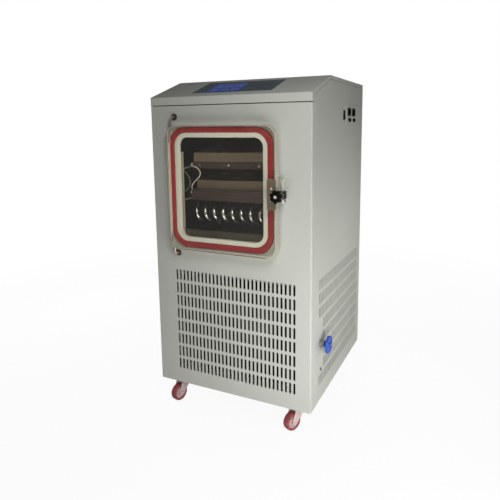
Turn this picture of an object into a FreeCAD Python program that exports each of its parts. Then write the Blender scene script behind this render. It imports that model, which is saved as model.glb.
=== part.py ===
import FreeCAD, Part
import math
import os
from FreeCAD import Vector

# Floor-standing freeze dryer with a clear hinged door, modelled in millimetres.
# Cabinet frame while modelling: x from the cabinet's middle, y from the front panel's face
# towards the back, z from the cabinet's underside. The last lines move it all to the part's origin.
# Small and repeated round pieces are regular prisms, so that the part stays light.

smallSides = 12
tubeSides = 6
pipeSides = 8
wheelSides = 24
lobeHalf = 0.3            # half of a knob's or handwheel's lobe, as a share of the lobes' spacing
hiddenSides = 16
cornerSteps = 6           # facets in a rounded corner
stepAngle = 30.0          # largest turn of one facet in a bend, degrees
past = 1.0                # how far a cutter reaches past the piece that it cuts

# cabinet
cabinetWidth = 600.0
cabinetDepth = 620.0
frontHeight = 1045.6      # to the lower edge of the sloped control face
topHeight = 1110.6
slopeRun = 183.0          # depth of the sloped control face
sheet = 1.5
bendRadius = 3.0          # outer radius of the folded edges
panelSeam = 1.0           # shadow gap between neighbouring panels
seat = 0.3                # gap left where two pieces only rest on each other
frontReturn = 22.0        # how far the front panel wraps round each side
fasciaHeight = 30.0
coverFlange = 13.5        # edge of the top cover that shows on the sides

# base and inner frame
panFloor = 3.0
panWall = 2.0
panHeight = 42.0
postLeg = 30.0
postThickness = 2.5
beamSize = 25.0
beamWall = 2.0
beamInset = 55.0
beamSpacing = 290.0

# ventilation slots
slotWidth = 7.6
slotHeight = 38.6
slotPitchX = 15.185
slotPitchZ = 48.8
slotRows = 8
slotColumns = 31
slotFirstX = -213.6
slotFirstZ = 75.6
sideSlotFirstY = 84.0
sideSlotPitch = 45.555
sideSlotColumns = 11
valvePatchColumns = 1
valvePatchRows = (1, 2, 3, 4)

# chamber
chamberX = -19.5
chamberZ = 737.3
mouthWidth = 312.0
mouthHeight = 337.0
mouthRadius = 30.0
lipWidth = 16.0
lipReach = 5.0            # how far the lip stands in front of the panel
flangeWidth = 430.0
flangeHeight = 454.0
flangeRadius = 48.0
flangeThickness = 10.0
chamberWidth = 369.0
chamberHeight = 357.0
chamberDepth = 410.0
chamberWall = 3.0
chamberBack = 5.0
gasketWidth = 20.0
gasketReach = 8.0         # how far the gasket stands in front of the panel
gasketClearance = 0.3
gasketPanelClearance = 2.0

# door
doorX = -11.75
doorZ = 736.0
doorWidth = 411.5
doorHeight = 428.0
doorRadius = 45.0
doorThickness = 30.0
doorBevel = 1.5
hingeEdgeSteps = 10       # facets of the half-round hinge edge
rodDiameter = 8.0
rodBend = 13.0
rodClearance = 0.1
upperPinDepth = 60.0
lowerPinDepth = 55.0
upperFootRise = 28.0      # foot of the upper hinge rod above the door's edge
lowerFootDrop = 22.0
rodEndDepth = 10.0        # how far each rod ends behind the panel's face
washerDiameter = 24.0
washerThickness = 2.5
nutFlats = 13.0
nutHeight = 6.5

# latch
latchX = 208.0
latchZ = 731.0
plateWidth = 30.0
plateHeight = 99.0
plateThickness = 3.0
plateOverhang = 1.5       # past the door's free edge
plateRadius = 4.0
lugRadius = 14.0
studDiameter = 10.0
lugHoleClearance = 0.6
keeperClearance = 0.6
studEngagement = 11.0
knobRadius = 21.5
knobLobes = 7
knobFirstLobe = 18.0      # degrees
knobScallopDepth = 4.2
knobRim = 15.0
knobDome = 4.0
knobCrown = 0.7           # outline of the knob's flat face, as a share of its widest outline
knobHubRadius = 11.0
knobFace = 74.0           # knob's front face ahead of the panel
knobBoreClearance = 0.1
studProud = 0.8
latchScrewHead = 9.0
latchScrewHeight = 2.5
latchScrewShank = 6.0
latchScrewLength = 16.0
latchScrewSpacing = 36.0
plateRise = 2.5           # middle of the latch plate above the knob
keeperRodY = -15.0
keeperRise = 9.5          # middle of the keeper rod above the knob
keeperSpan = 81.0
keeperFootBend = 9.0
keeperWidth = 22.0
keeperHeight = 24.0
keeperFront = -33.0
keeperBack = -9.0

# shelves, trays and rack
shelfX = -9.5
shelfWidth = 265.0
shelfDepth = 330.0
upperShelfFront = 31.0
upperShelfTop = 822.0
upperShelfThickness = 23.0
lowerShelfFront = 22.0
lowerShelfTop = 728.4
lowerShelfThickness = 5.0
lowerSkirtHeight = 35.0
lowerSkirtThickness = 3.0
trayDepth = 300.0
trayHeight = 29.0
trayWall = 1.5
trayInset = 3.0           # from each end of the shelf to the tray on it
trayRadius = 4.0          # cut corners
upperTrayFront = 30.0
lowerTrayFront = 50.0
rackPostWidth = 15.0
rackPostThickness = 4.0
rackPostFront = 16.0
rackPostSpan = 290.0
rackTop = 855.0
rackBar = 3.0
rackWallGap = 19.5
rackBracket = 20.0
rackBracketInset = 54.0   # from the front of the rack to each bracket, and from its back
rackReach = 9.0           # how far each bracket reaches under its shelf
shelfScrewHead = 8.0
shelfScrewHeight = 2.4
screwCrown = 0.36         # radius of a screw head's flat crown, as a share of the head's width
shelfScrewShank = 4.0
shelfScrewLength = 8.0
shelfScrewLift = -1.0     # above the middle of the shelf's edge
shelfScrewSpacing = 106.5
dripTraySide = 36.0       # between the drip tray and each side wall of the chamber
dripTrayFront = 16.0
dripTrayDepth = 372.0
dripTrayHeight = 34.0

# condenser coil
coilPitch = 33.0
coilTurns = 7.5
coilRadius = 26.0
coilTube = 5.0            # tube radius
coilFirstX = -146.25
coilY = 71.0
coilZ = 645.0
coilSteps = 10            # chords in a turn
coilReach = 20.0          # legs behind the chamber

# heater leads
leadRadius = 1.8
bendShare = 0.45          # of a lead's shorter run that a bend takes up
terminalRadius = 4.5
terminalLength = 7.0
upperTerminalRise = 7.0    # above the upper shelf's underside
lowerTerminalDrop = 14.8   # below the lower shelf's top
gripLength = 8.0
terminalHeight = 8.4
glandY = 44.0
glandTop = 794.0
glandLow = 716.0

# control panel
overlayWidth = 300.0
overlayHeight = 128.0
overlayLow = 36.0         # along the slope from its lower edge
overlayThickness = 0.8
displayX = -36.0
displayWidth = 128.0
displayHeight = 96.0
displayLow = 42.0
displayGap = 0.4
displayThickness = 1.0
displayMargin = 4.0
housingWidth = 280.0
housingHeight = 120.0
housingDepth = 42.0

# connectors on the right side
connectorY = 467.5
connectorWidth = 175.0
connectorZ = 986.0
connectorHeight = 72.0
connectorThickness = 1.2
socketYs = (409.0, 472.0)
socketZ = 995.5
socketWidth = 40.0
socketHeight = 28.0
socketReach = 3.0
socketFlange = 3.0
socketBody = 24.0
socketRecessWidth = 25.0
socketRecessHeight = 17.0
socketRecessDepth = 16.0
socketPinWidth = 4.0
socketPinThickness = 2.0
socketPinLength = 9.0
socketPinSpread = 7.0
socketPinDrop = 1.5       # outer pins below the middle of the recess
socketPinRise = 2.5       # middle pin above it
fuseZ = 966.0
fuseRadius = 8.0
fuseReach = 8.0
fuseBodyRadius = 6.0
fuseBody = 30.0
switchY = 345.0
switchZ = 983.0
switchWidth = 21.0
switchHeight = 34.0
switchReach = 2.0
switchBody = 22.0
switchFlange = 2.0        # flange seen round the switch's body
switchWall = 1.5
switchCavity = 12.0
rockerGap = 0.5
rockerPivotDepth = 4.0
rockerRise = 3.0
rockerDepth = 3.0
rockerTilt = 10.0         # degrees from level to either side

# drain valve
valveY = 97.0
valveZ = 208.0
bonnetRadius = 14.0
bonnetLength = 17.0
bonnetEdge = 4.0
valveNeckRadius = 11.0
valveBodyRadius = 17.0
valveBodyLength = 46.0
valvePipeRadius = 6.0
valvePipeBend = 20.0
stemRadius = 4.0
stemDepth = 14.0
stemClearance = 0.1
wheelRadius = 31.0
wheelStandoff = 29.0      # handwheel's middle ahead of the side panel
wheelThickness = 10.0
wheelWeb = 4.0
wheelHubRadius = 9.0
wheelScallops = 8
wheelScallopDepth = 3.0
wheelNutFlats = 10.0
wheelNutHeight = 5.0
wheelHubRise = 3.0
wheelHubBack = 4.0        # hub behind the rim's back face
wheelRim = 7.0
stemProud = 1.0
outletZ = 113.0
outletBore = 4.0
outletBoreDepth = 12.0
outletProud = 4.0
drainX = 160.0
drainBendZ = 492.0
valveInset = 32.0         # valve body's middle behind the side panel

# casters
casterX = 235.0
casterFront = 48.0
casterRear = 572.0
casterHeight = 90.0
casterPlateX = 70.0
casterPlateY = 55.0
casterPlate = 3.0
casterRaceRadius = 22.0
casterRace = 7.0
swivelGap = 0.5
kingpinRadius = 6.0
kingpinClearance = 0.1
kingpinReach = 1.5        # under the fork's crown
forkThickness = 2.5
forkGap = 2.0             # between the wheel's hub and each fork leg
forkHead = 40.0
forkFoot = 24.0
forkFootAngles = (-35, -90, 190, 145)  # corners of a leg's round foot, degrees
casterTrail = 26.0
wheelDiameter = 63.0
casterWheelWidth = 25.0
axleRadius = 4.0
axleClearance = 0.1
axleHeadHeight = 3.0
casterTurns = {"front_left": 13.0, "front_right": 26.0, "rear_left": -18.0, "rear_right": 9.0}

# cooling unit
radiatorWidth = 440.0
radiatorHeight = 340.0
radiatorDepth = 44.0
radiatorFront = 32.0
radiatorLow = 62.0
radiatorEnd = 2.0
fanRadius = 125.0
fanHub = 28.0
fanBlades = 5
fanBladeThickness = 2.0
fanBladePitch = 28.0      # degrees
fanBladeReach = 120.0
fanBladeRoot = 28.0       # width of a blade at the hub
fanBladeTipRise = 28.0    # the tip's leading corner from the blade's middle line
fanBladeTipDrop = 16.8    # its trailing corner on the other side
fanDepth = 28.0
fanClearance = 5.0
shroudDepth = 36.0
shroudPlate = 2.0
shroudWall = 2.0
motorRadius = 32.0
motorLength = 55.0
motorStrutWidth = 14.0
motorStrut = 3.0
compressorX = -70.0
compressorY = 400.0
compressorRadius = 88.0
compressorHeight = 205.0
compressorLift = 20.0
compressorPlate = 4.0
compressorPlateDepth = 123.2
compressorChamfer = 12.0
compressorShoulder = 164.0  # height where the can starts to narrow
compressorCrown = 198.85
compressorCrownRadius = 61.6
compressorFoot = 11.0
pipeRadius = 5.0
pipeBend = 15.0
suctionDrop = 30.0        # from the coil's leg back to the pipe's fall

# vacuum port at the back
portX = 90.0
portZ = 840.0
portRadius = 12.5
portWall = 1.5
portFlangeRadius = 20.0
portFlange = 4.0
portReach = 30.0

# worked out from the sizes above
halfWidth = cabinetWidth / 2
seamZ = frontHeight - fasciaHeight
slopeAngle = math.degrees(math.atan2(topHeight - frontHeight, slopeRun))
flangeFront = sheet + seat
lipOuterWidth = mouthWidth + 2 * lipWidth
lipOuterHeight = mouthHeight + 2 * lipWidth
lipRadius = mouthRadius + lipWidth
gasketInnerWidth = lipOuterWidth + 2 * gasketClearance
gasketInnerHeight = lipOuterHeight + 2 * gasketClearance
gasketInnerRadius = lipRadius + gasketClearance
doorBack = -gasketReach - seat
doorFront = doorBack - doorThickness
doorLeft = doorX - doorWidth / 2
doorRight = doorX + doorWidth / 2
doorLow = doorZ - doorHeight / 2
doorTop = doorLow + doorHeight
hingeX = doorLeft + doorThickness / 2
hingeY = doorBack - doorThickness / 2
plateFace = doorFront - plateThickness
studTip = keeperFront + studEngagement
chamberFloor = chamberZ - chamberHeight / 2
dripTrayWidth = chamberWidth - 2 * dripTraySide
trayWidth = shelfWidth - 2 * trayInset
chamberFront = flangeFront + flangeThickness
chamberRear = chamberFront + chamberDepth
upperShelfUnder = upperShelfTop - upperShelfThickness
lowerShelfUnder = lowerShelfTop - lowerSkirtHeight
wheelMidX = halfWidth + wheelStandoff
wheelBackX = wheelMidX - wheelThickness / 2
wheelHubFront = wheelMidX + wheelHubRise
stemEndX = wheelHubFront + wheelNutHeight + stemProud
portEnd = cabinetDepth + portReach
leftReach = halfWidth
rightReach = stemEndX
frontReach = knobFace + studProud
originX = (rightReach - leftReach) / 2
originY = (portEnd - frontReach) / 2
alongX = Vector(1, 0, 0)
alongY = Vector(0, 1, 0)
alongZ = Vector(0, 0, 1)


def box(x0, x1, y0, y1, z0, z1):
    return Part.makeBox(x1 - x0, y1 - y0, z1 - z0, Vector(x0, y0, z0))


def ringSolid(rings, hollow):
    """Solid with flat faces between rings of points, capped at both ends or, if hollow, closed on itself."""
    faces = []
    last = rings[:1] if hollow else []
    for low, high in zip(rings, rings[1:] + last):
        for k in range(len(low)):
            n = (k + 1) % len(low)
            corners = [low[k], low[n], high[n], high[k]]
            faces.append(Part.Face(Part.makePolygon(corners + corners[:1])))
    if not hollow:
        for ring in (rings[0], rings[-1]):
            faces.append(Part.Face(Part.makePolygon(ring + ring[:1])))
    solid = Part.Solid(Part.Shell(faces)).removeSplitter()
    if solid.Volume < 0:
        solid.reverse()
    return solid


def regularRing(radius, height, sides):
    """Points of a regular polygon about z, with a flat side to the right."""
    points = []
    for k in range(sides):
        angle = 2 * math.pi * (k + 0.5) / sides
        points.append(Vector(radius * math.cos(angle), radius * math.sin(angle), height))
    return points


def stood(shape, start, axis):
    """A shape made about z, moved to start and turned so that z lies along axis."""
    moved = shape.copy()
    moved.Placement = FreeCAD.Placement(start, FreeCAD.Rotation(alongZ, axis))
    return moved


def rod(start, axis, radius, length, sides=smallSides):
    rings = [regularRing(radius, 0, sides), regularRing(radius, length, sides)]
    return stood(ringSolid(rings, False), start, axis)


def hole(start, axis, radius, length, sides=smallSides):
    """Cutter whose flats lie at radius, so that a rod of that radius turns in the hole."""
    return rod(start, axis, radius / math.cos(math.pi / sides), length, sides)


def turned(points, start, axis, sides=smallSides):
    """Turned solid from (radius, height) points about an axis through start."""
    rings = [regularRing(radius, height, sides) for radius, height in points if radius > 0]
    hollow = all(radius > 0 for radius, height in points)
    return stood(ringSolid(rings, hollow), start, axis)


def roundedOutline(middle, width, height, radius):
    """Corner points of a rounded rectangle in the upright plane through middle, seen from the front."""
    points = []
    for signX, signZ, turn in ((1, 1, 0), (-1, 1, 90), (-1, -1, 180), (1, -1, 270)):
        centre = middle + Vector(signX * (width / 2 - radius), 0, signZ * (height / 2 - radius))
        for step in range(cornerSteps + 1):
            angle = math.radians(turn + 90 * step / cornerSteps)
            points.append(centre + Vector(radius * math.cos(angle), 0, radius * math.sin(angle)))
    return points


def roundedPlate(x, z, width, height, radius, y0, y1):
    return prism(roundedOutline(Vector(x, y0, z), width, height, radius), Vector(0, y1 - y0, 0))


def roundedRing(x, z, outer, inner, y0, y1):
    whole = roundedPlate(x, z, outer[0], outer[1], outer[2], y0, y1)
    hole = roundedPlate(x, z, inner[0], inner[1], inner[2], y0 - past, y1 + past)
    return whole.cut(hole)


def prism(points, extrusion):
    return Part.Face(Part.makePolygon(points + points[:1])).extrude(extrusion)


def bentPath(points, radii):
    """Corner points of a run with each bend cut into short chords of an arc of its own radius."""
    path = [points[0]]
    for k, radius in enumerate(radii):
        corner = points[k + 1]
        before = (corner - points[k]).normalize()
        after = (points[k + 2] - corner).normalize()
        turn = before.getAngle(after)
        steps = max(1, math.ceil(math.degrees(turn) / stepAngle))
        inward = (after - before).normalize()
        centre = corner + inward * (radius / math.cos(turn / 2))
        sweep = before.cross(after)
        spoke = corner - before * (radius * math.tan(turn / 2)) - centre
        outer = radius / math.cos(turn / steps / 2)
        for step in range(steps):
            angle = math.degrees(turn) * (step + 0.5) / steps
            path.append(centre + FreeCAD.Rotation(sweep, angle).multVec(spoke).normalize() * outer)
    path.append(points[-1])
    return path


def mitredTube(points, radius, sides):
    """Prism of regular section that follows a run of points, mitred at each of them."""
    along = (points[1] - points[0]).normalize()
    ring = stood(Part.makePolygon(regularRing(radius, 0, sides)), points[0], along).Vertexes
    ring = [v.Point for v in ring]
    rings = [ring]
    for k in range(1, len(points)):
        along = (points[k] - points[k - 1]).normalize()
        onward = (points[k + 1] - points[k]).normalize() if k + 1 < len(points) else along
        normal = along + onward
        ring = [p + along * ((points[k] - p).dot(normal) / along.dot(normal)) for p in ring]
        rings.append(ring)
    return ringSolid(rings, False)


def bentRod(points, radius, bend):
    return mitredTube(bentPath(points, [bend] * (len(points) - 2)), radius, smallSides)


def hexNut(start, axis, flats, height, bore):
    corner = flats / math.sqrt(3)
    inner = bore / math.cos(math.pi / 6)
    nut = [(corner, 0), (corner, height), (inner, height), (inner, 0)]
    return turned(nut, start, axis, 6)


def slopeHeight(y):
    return frontHeight + (topHeight - frontHeight) * min(y, slopeRun) / slopeRun


def onSlope(shape):
    """Moves a shape drawn flat (x across, y up the slope, z off it) on to the sloped face."""
    moved = shape.copy()
    rotation = FreeCAD.Rotation(alongX, slopeAngle)
    moved.Placement = FreeCAD.Placement(Vector(0, 0, frontHeight), rotation)
    return moved


# ---- cabinet ----

def frontSlots():
    slots = []
    for column in range(slotColumns):
        x = slotFirstX + column * slotPitchX
        for row in range(slotRows):
            z = slotFirstZ + row * slotPitchZ
            slots.append(box(x - slotWidth / 2, x + slotWidth / 2, -sheet, 2 * sheet,
                             z - slotHeight / 2, z + slotHeight / 2))
    return slots


def sideSlots():
    slots = []
    for column in range(sideSlotColumns):
        y = sideSlotFirstY + column * sideSlotPitch
        for row in range(slotRows):
            if column < valvePatchColumns and row in valvePatchRows:
                continue
            z = slotFirstZ + row * slotPitchZ
            slots.append(box(halfWidth - 2 * sheet, halfWidth + sheet, y - slotWidth / 2, y + slotWidth / 2,
                             z - slotHeight / 2, z + slotHeight / 2))
    return slots


def frontPanel():
    """One folded sheet: the face, a return round each side and a fold under the fascia."""
    outer = box(-halfWidth, halfWidth, 0, frontReturn, 0, seamZ)
    edges = [e for e in outer.Edges
             if abs(e.CenterOfMass.y) < sheet and abs(abs(e.CenterOfMass.x) - halfWidth) < sheet]
    outer = outer.makeFillet(bendRadius, edges)
    inner = box(sheet - halfWidth, halfWidth - sheet, sheet, frontReturn + past, -past, seamZ - sheet)
    panel = outer.cut(inner)
    mouth = roundedPlate(chamberX, chamberZ, gasketOuterWidth() + 2 * gasketPanelClearance,
                         gasketOuterHeight() + 2 * gasketPanelClearance,
                         gasketInnerRadius + gasketWidth + gasketPanelClearance, -past, 2 * sheet)
    rodHole = rodDiameter / 2 + seat
    holes = [mouth]
    for x, z in rodFeet():
        holes.append(hole(Vector(x, -past, z), alongY, rodHole, 3 * sheet, pipeSides))
    return panel.cut(Part.makeCompound(frontSlots() + holes))


def gasketOuterWidth():
    return gasketInnerWidth + 2 * gasketWidth


def gasketOuterHeight():
    return gasketInnerHeight + 2 * gasketWidth


def rodFeet():
    """Where the two hinge rods and the keeper rod pass through the front panel."""
    reach = keeperSpan / 2 - rodDiameter / 2
    middle = latchZ + keeperRise
    return [(hingeX, doorTop + upperFootRise), (hingeX, doorLow - lowerFootDrop),
            (latchX, middle + reach), (latchX, middle - reach)]


def sidePanel(side):
    """Flat side sheet whose top follows the sloped control face, folded in along the back edge."""
    x = halfWidth if side > 0 else -halfWidth + sheet
    y0 = frontReturn + panelSeam
    drop = coverFlange + panelSeam
    bend = slopeRun
    points = [Vector(x, y0, 0), Vector(x, cabinetDepth - sheet - panelSeam, 0),
              Vector(x, cabinetDepth - sheet - panelSeam, topHeight - drop), Vector(x, bend, topHeight - drop),
              Vector(x, y0, slopeHeight(y0) - drop)]
    panel = prism(points, Vector(-sheet, 0, 0))
    if side < 0:
        return panel
    cuts = sideSlots()
    cuts.append(hole(Vector(halfWidth - 2 * sheet, valveY, valveZ), alongX, valveNeckRadius + seat, 4 * sheet,
                     pipeSides))
    cuts.append(hole(Vector(halfWidth - 2 * sheet, valveY, outletZ), alongX, valvePipeRadius + seat, 4 * sheet,
                     pipeSides))
    for y in socketYs:
        cuts.append(socketBodyBox(y, seat))
        cuts.append(hole(Vector(halfWidth - 2 * sheet, y, fuseZ), alongX, fuseBodyRadius + seat, 4 * sheet,
                         pipeSides))
    cuts.append(switchBodyBox(seat))
    return panel.cut(Part.makeCompound(cuts))


def backPanel():
    top = topHeight - coverFlange - panelSeam
    panel = box(-halfWidth, halfWidth, cabinetDepth - sheet, cabinetDepth, 0, top)
    return panel.cut(hole(Vector(portX, cabinetDepth - 2 * sheet, portZ), alongY,
                          portRadius + portWall + seat, 4 * sheet))


def topCover():
    """One folded sheet: fascia, sloped control face, flat top and the edges that hang over the sides."""
    low = seamZ + panelSeam
    outline = [Vector(-halfWidth, 0, low), Vector(-halfWidth, 0, frontHeight),
               Vector(-halfWidth, slopeRun, topHeight), Vector(-halfWidth, cabinetDepth, topHeight),
               Vector(-halfWidth, cabinetDepth, low)]
    outer = prism(outline, Vector(cabinetWidth, 0, 0))
    folds = [e for e in outer.Edges if abs(e.CenterOfMass.x) < 1 and e.CenterOfMass.z > seamZ + sheet]
    outer = outer.makeChamfer(bendRadius / 2, folds)
    drop = sheet / math.cos(math.radians(slopeAngle))
    inside = sheet - halfWidth
    innerBend = slopeRun + (drop - sheet) / math.tan(math.radians(slopeAngle))
    inner = prism([Vector(inside, sheet, seamZ - sheet), Vector(inside, sheet, slopeHeight(sheet) - drop),
                   Vector(inside, innerBend, topHeight - sheet),
                   Vector(inside, cabinetDepth - sheet, topHeight - sheet),
                   Vector(inside, cabinetDepth - sheet, seamZ - sheet)],
                  Vector(cabinetWidth - 2 * sheet, 0, 0))
    past = -halfWidth - sheet
    below = prism([Vector(past, frontReturn, seamZ - sheet),
                   Vector(past, frontReturn, slopeHeight(frontReturn) - coverFlange),
                   Vector(past, slopeRun, topHeight - coverFlange),
                   Vector(past, cabinetDepth + sheet, topHeight - coverFlange),
                   Vector(past, cabinetDepth + sheet, seamZ - sheet)],
                  Vector(cabinetWidth + 2 * sheet, 0, 0))
    aperture = box(displayX - displayWidth / 2 + displayMargin, displayX + displayWidth / 2 - displayMargin,
                   displayLow + displayMargin, displayLow + displayHeight - displayMargin, -3 * sheet, sheet)
    return outer.cut(inner).cut(below).cut(onSlope(aperture))


def basePan():
    x = halfWidth - sheet
    pan = box(-x, x, sheet, cabinetDepth - sheet, 0, panHeight)
    return pan.cut(box(-x + panWall, x - panWall, sheet + panWall, cabinetDepth - sheet - panWall,
                       panFloor, panHeight + past))


def cabinetPosts():
    """Four angle posts that stand in the pan's corners and carry the top."""
    x = halfWidth - sheet - panWall
    front = sheet + panWall
    back = cabinetDepth - sheet - panWall
    posts = []
    for side in (-1, 1):
        for y, inward, top in ((front, 1, seamZ - sheet), (back, -1, topHeight - sheet)):
            corner = [Vector(side * x, y, panFloor), Vector(side * (x - postLeg), y, panFloor),
                      Vector(side * (x - postLeg), y + inward * postThickness, panFloor),
                      Vector(side * (x - postThickness), y + inward * postThickness, panFloor),
                      Vector(side * (x - postThickness), y + inward * postLeg, panFloor),
                      Vector(side * x, y + inward * postLeg, panFloor)]
            posts.append(prism(corner, Vector(0, 0, top - panFloor)))
    return Part.makeCompound(posts)


def chamberBeams():
    x = halfWidth - sheet
    top = chamberFloor - chamberWall
    beams = []
    for y in (beamInset, beamInset + beamSpacing):
        beam = box(-x, x, y, y + beamSize, top - beamSize, top)
        beams.append(beam.cut(box(-x - past, x + past, y + beamWall, y + beamSize - beamWall,
                                  top - beamSize + beamWall, top - beamWall)))
    return Part.makeCompound(beams)


# ---- control panel ----

def controlOverlay():
    high = overlayLow + overlayHeight
    plate = box(-overlayWidth / 2, overlayWidth / 2, overlayLow, high, 0, overlayThickness)
    window = box(displayX - displayWidth / 2 - displayGap, displayX + displayWidth / 2 + displayGap,
                 displayLow - displayGap, displayLow + displayHeight + displayGap, -past, overlayThickness + past)
    return onSlope(plate.cut(window))


def displayWindow():
    return onSlope(box(displayX - displayWidth / 2, displayX + displayWidth / 2,
                       displayLow, displayLow + displayHeight, 0, displayThickness))


def controllerHousing():
    middle = overlayLow + overlayHeight / 2
    return onSlope(box(-housingWidth / 2, housingWidth / 2, middle - housingHeight / 2,
                       middle + housingHeight / 2, -sheet - housingDepth, -sheet))


# ---- chamber ----

def chamberShell():
    """Welded box with an open front and holes at the back and in the floor for its pipes."""
    shell = box(chamberX - chamberWidth / 2 - chamberWall, chamberX + chamberWidth / 2 + chamberWall,
                chamberFront, chamberRear, chamberFloor - chamberWall,
                chamberFloor + chamberHeight + chamberWall)
    hollow = box(chamberX - chamberWidth / 2, chamberX + chamberWidth / 2,
                 chamberFront - past, chamberRear - chamberBack, chamberFloor, chamberFloor + chamberHeight)
    cuts = [hole(Vector(portX, chamberRear - 2 * chamberBack, portZ), alongY,
                 portRadius + portWall + rodClearance, 4 * chamberBack),
            hole(Vector(drainX, valveY, chamberFloor - 2 * chamberWall), alongZ,
                 valvePipeRadius + rodClearance, 4 * chamberWall, pipeSides)]
    for x, z in coilEnds():
        cuts.append(hole(Vector(x, chamberRear - 2 * chamberBack, z), alongY,
                         coilTube + rodClearance, 4 * chamberBack, tubeSides))
    return shell.cut(hollow).cut(Part.makeCompound(cuts))


def chamberFlange():
    """Flat ring behind the front panel, with the raised lip that the gasket is stretched round."""
    mouth = (mouthWidth, mouthHeight, mouthRadius)
    ring = roundedRing(chamberX, chamberZ, (flangeWidth, flangeHeight, flangeRadius), mouth,
                       flangeFront, chamberFront)
    lip = roundedRing(chamberX, chamberZ, (lipOuterWidth, lipOuterHeight, lipRadius), mouth,
                      -lipReach, flangeFront)
    return ring.fuse(lip).removeSplitter()


def doorGasket():
    outer = (gasketOuterWidth(), gasketOuterHeight(), gasketInnerRadius + gasketWidth)
    inner = (gasketInnerWidth, gasketInnerHeight, gasketInnerRadius)
    return roundedRing(chamberX, chamberZ, outer, inner, -gasketReach, sheet)


def vacuumPort():
    """Tube welded into the chamber's back wall, with the clamp flange that a pump's hose takes."""
    inner = chamberRear - chamberBack
    length = portEnd - inner
    wall = portRadius + portWall
    bevel = portFlange / 2
    port = turned([(0, 0), (wall, 0), (wall, length - portFlange - bevel),
                   (portFlangeRadius, length - portFlange), (portFlangeRadius, length), (0, length)],
                  Vector(portX, inner, portZ), alongY)
    return port.cut(Part.makeCylinder(portRadius, length, Vector(portX, inner, portZ), alongY))


# ---- shelves ----

def upperShelf():
    x = shelfX - shelfWidth / 2
    back = upperShelfFront + shelfDepth
    shelf = box(x, x + shelfWidth, upperShelfFront, back, upperShelfUnder, upperShelfTop)
    holes = []
    for offset in (-shelfScrewSpacing, 0, shelfScrewSpacing):
        holes.append(hole(Vector(shelfX + offset, upperShelfFront - past, shelfScrewZ()), alongY,
                          shelfScrewShank / 2 + rodClearance, shelfScrewLength + past + seat, tubeSides))
    return shelf.cut(Part.makeCompound(holes))


def shelfScrewZ():
    return (upperShelfUnder + upperShelfTop) / 2 + shelfScrewLift


def screw(tip, axis, shank, length, head, headHeight):
    """Pan-head screw from the tip of its shank to the top of its head."""
    return turned([(0, 0), (shank / 2, 0), (shank / 2, length), (head / 2, length),
                   (head * screwCrown, length + headHeight), (0, length + headHeight)], tip, axis, tubeSides)


def shelfScrews():
    tip = upperShelfFront + shelfScrewLength
    return Part.makeCompound([screw(Vector(shelfX + offset, tip, shelfScrewZ()), -alongY, shelfScrewShank,
                                    shelfScrewLength, shelfScrewHead, shelfScrewHeight)
                              for offset in (-shelfScrewSpacing, 0, shelfScrewSpacing)])


def lowerShelf():
    """Plate with its front and sides folded down into a skirt."""
    x = shelfX - shelfWidth / 2
    back = lowerShelfFront + shelfDepth
    shelf = box(x, x + shelfWidth, lowerShelfFront, back, lowerShelfUnder, lowerShelfTop)
    wall = lowerSkirtThickness
    return shelf.cut(box(x + wall, x + shelfWidth - wall, lowerShelfFront + wall, back + past,
                         lowerShelfUnder - past, lowerShelfTop - lowerShelfThickness))


def openTray(x, front, low, width, depth, height):
    return trayBlock(x, front, low, width, depth, height, trayRadius).cut(
        trayBlock(x, front + trayWall, low + trayWall, width - 2 * trayWall, depth - 2 * trayWall,
                  height, trayRadius - trayWall / 2))


def trayBlock(x, front, low, width, depth, height, corner):
    """Upright block with its four corners cut off."""
    half = width / 2
    outline = []
    for sideX, sideY, first in ((1, 0, 0), (1, 1, 1), (-1, 1, 0), (-1, 0, 1)):
        cutX = Vector(x + sideX * (half - corner), front + sideY * depth, low)
        cutY = Vector(x + sideX * half, front + sideY * depth + corner * (1 - 2 * sideY), low)
        outline += [cutY, cutX] if first else [cutX, cutY]
    return prism(outline, Vector(0, 0, height))


def shelfRack():
    """A side frame on each side of the shelves: two posts, a bar for each shelf and its brackets."""
    frames = []
    back = rackPostFront + rackPostSpan + rackPostThickness
    for side in (-1, 1):
        wall = chamberX + side * (chamberWidth / 2 - rackWallGap)
        edge = shelfX + side * (shelfWidth / 2 - rackReach)
        inward = wall - side * rackPostWidth
        low, high = min(wall, inward), max(wall, inward)
        frame = box(low, high, rackPostFront, rackPostFront + rackPostThickness, chamberFloor, rackTop)
        frame = frame.fuse(box(low, high, back - rackPostThickness, back, chamberFloor, rackTop))
        for under in (upperShelfUnder, lowerShelfUnder):
            frame = frame.fuse(box(low, high, rackPostFront, back, under - rackBar, under))
            for y in (rackPostFront + rackBracketInset, back - rackBracketInset - rackBracket):
                frame = frame.fuse(box(min(inward, edge), max(inward, edge), y, y + rackBracket,
                                       under - rackBar, under))
        frames.append(frame.removeSplitter())
    return Part.makeCompound(frames)


# ---- condenser coil ----

def coilEnds():
    """Where the coil's two legs run to the back: from the first turn's top and the last turn's foot."""
    return [(coilFirstX, coilZ + coilRadius), (coilFirstX + coilPitch * coilTurns, coilZ - coilRadius)]


def condenserCoil():
    """Helix about a line along x, with a leg from each end through the chamber's back wall."""
    back = chamberRear + coilReach
    steps = round(coilTurns * coilSteps)
    points = []
    for k in range(steps + 1):
        turn = 2 * math.pi * k / coilSteps
        points.append(Vector(coilFirstX + coilPitch * k / coilSteps, coilY - coilRadius * math.sin(turn),
                             coilZ + coilRadius * math.cos(turn)))
    first = Vector(points[0].x, back, points[0].z)
    last = Vector(points[-1].x, back, points[-1].z)
    return mitredTube([first] + points + [last], coilTube, tubeSides)


# ---- heater leads ----

def upperTerminal():
    """Lowest corner of the terminal block on the upper shelf's side."""
    return Vector(shelfX - shelfWidth / 2 - gripLength, upperShelfFront + terminalLength / 2,
                  upperShelfUnder + upperTerminalRise)


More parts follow.
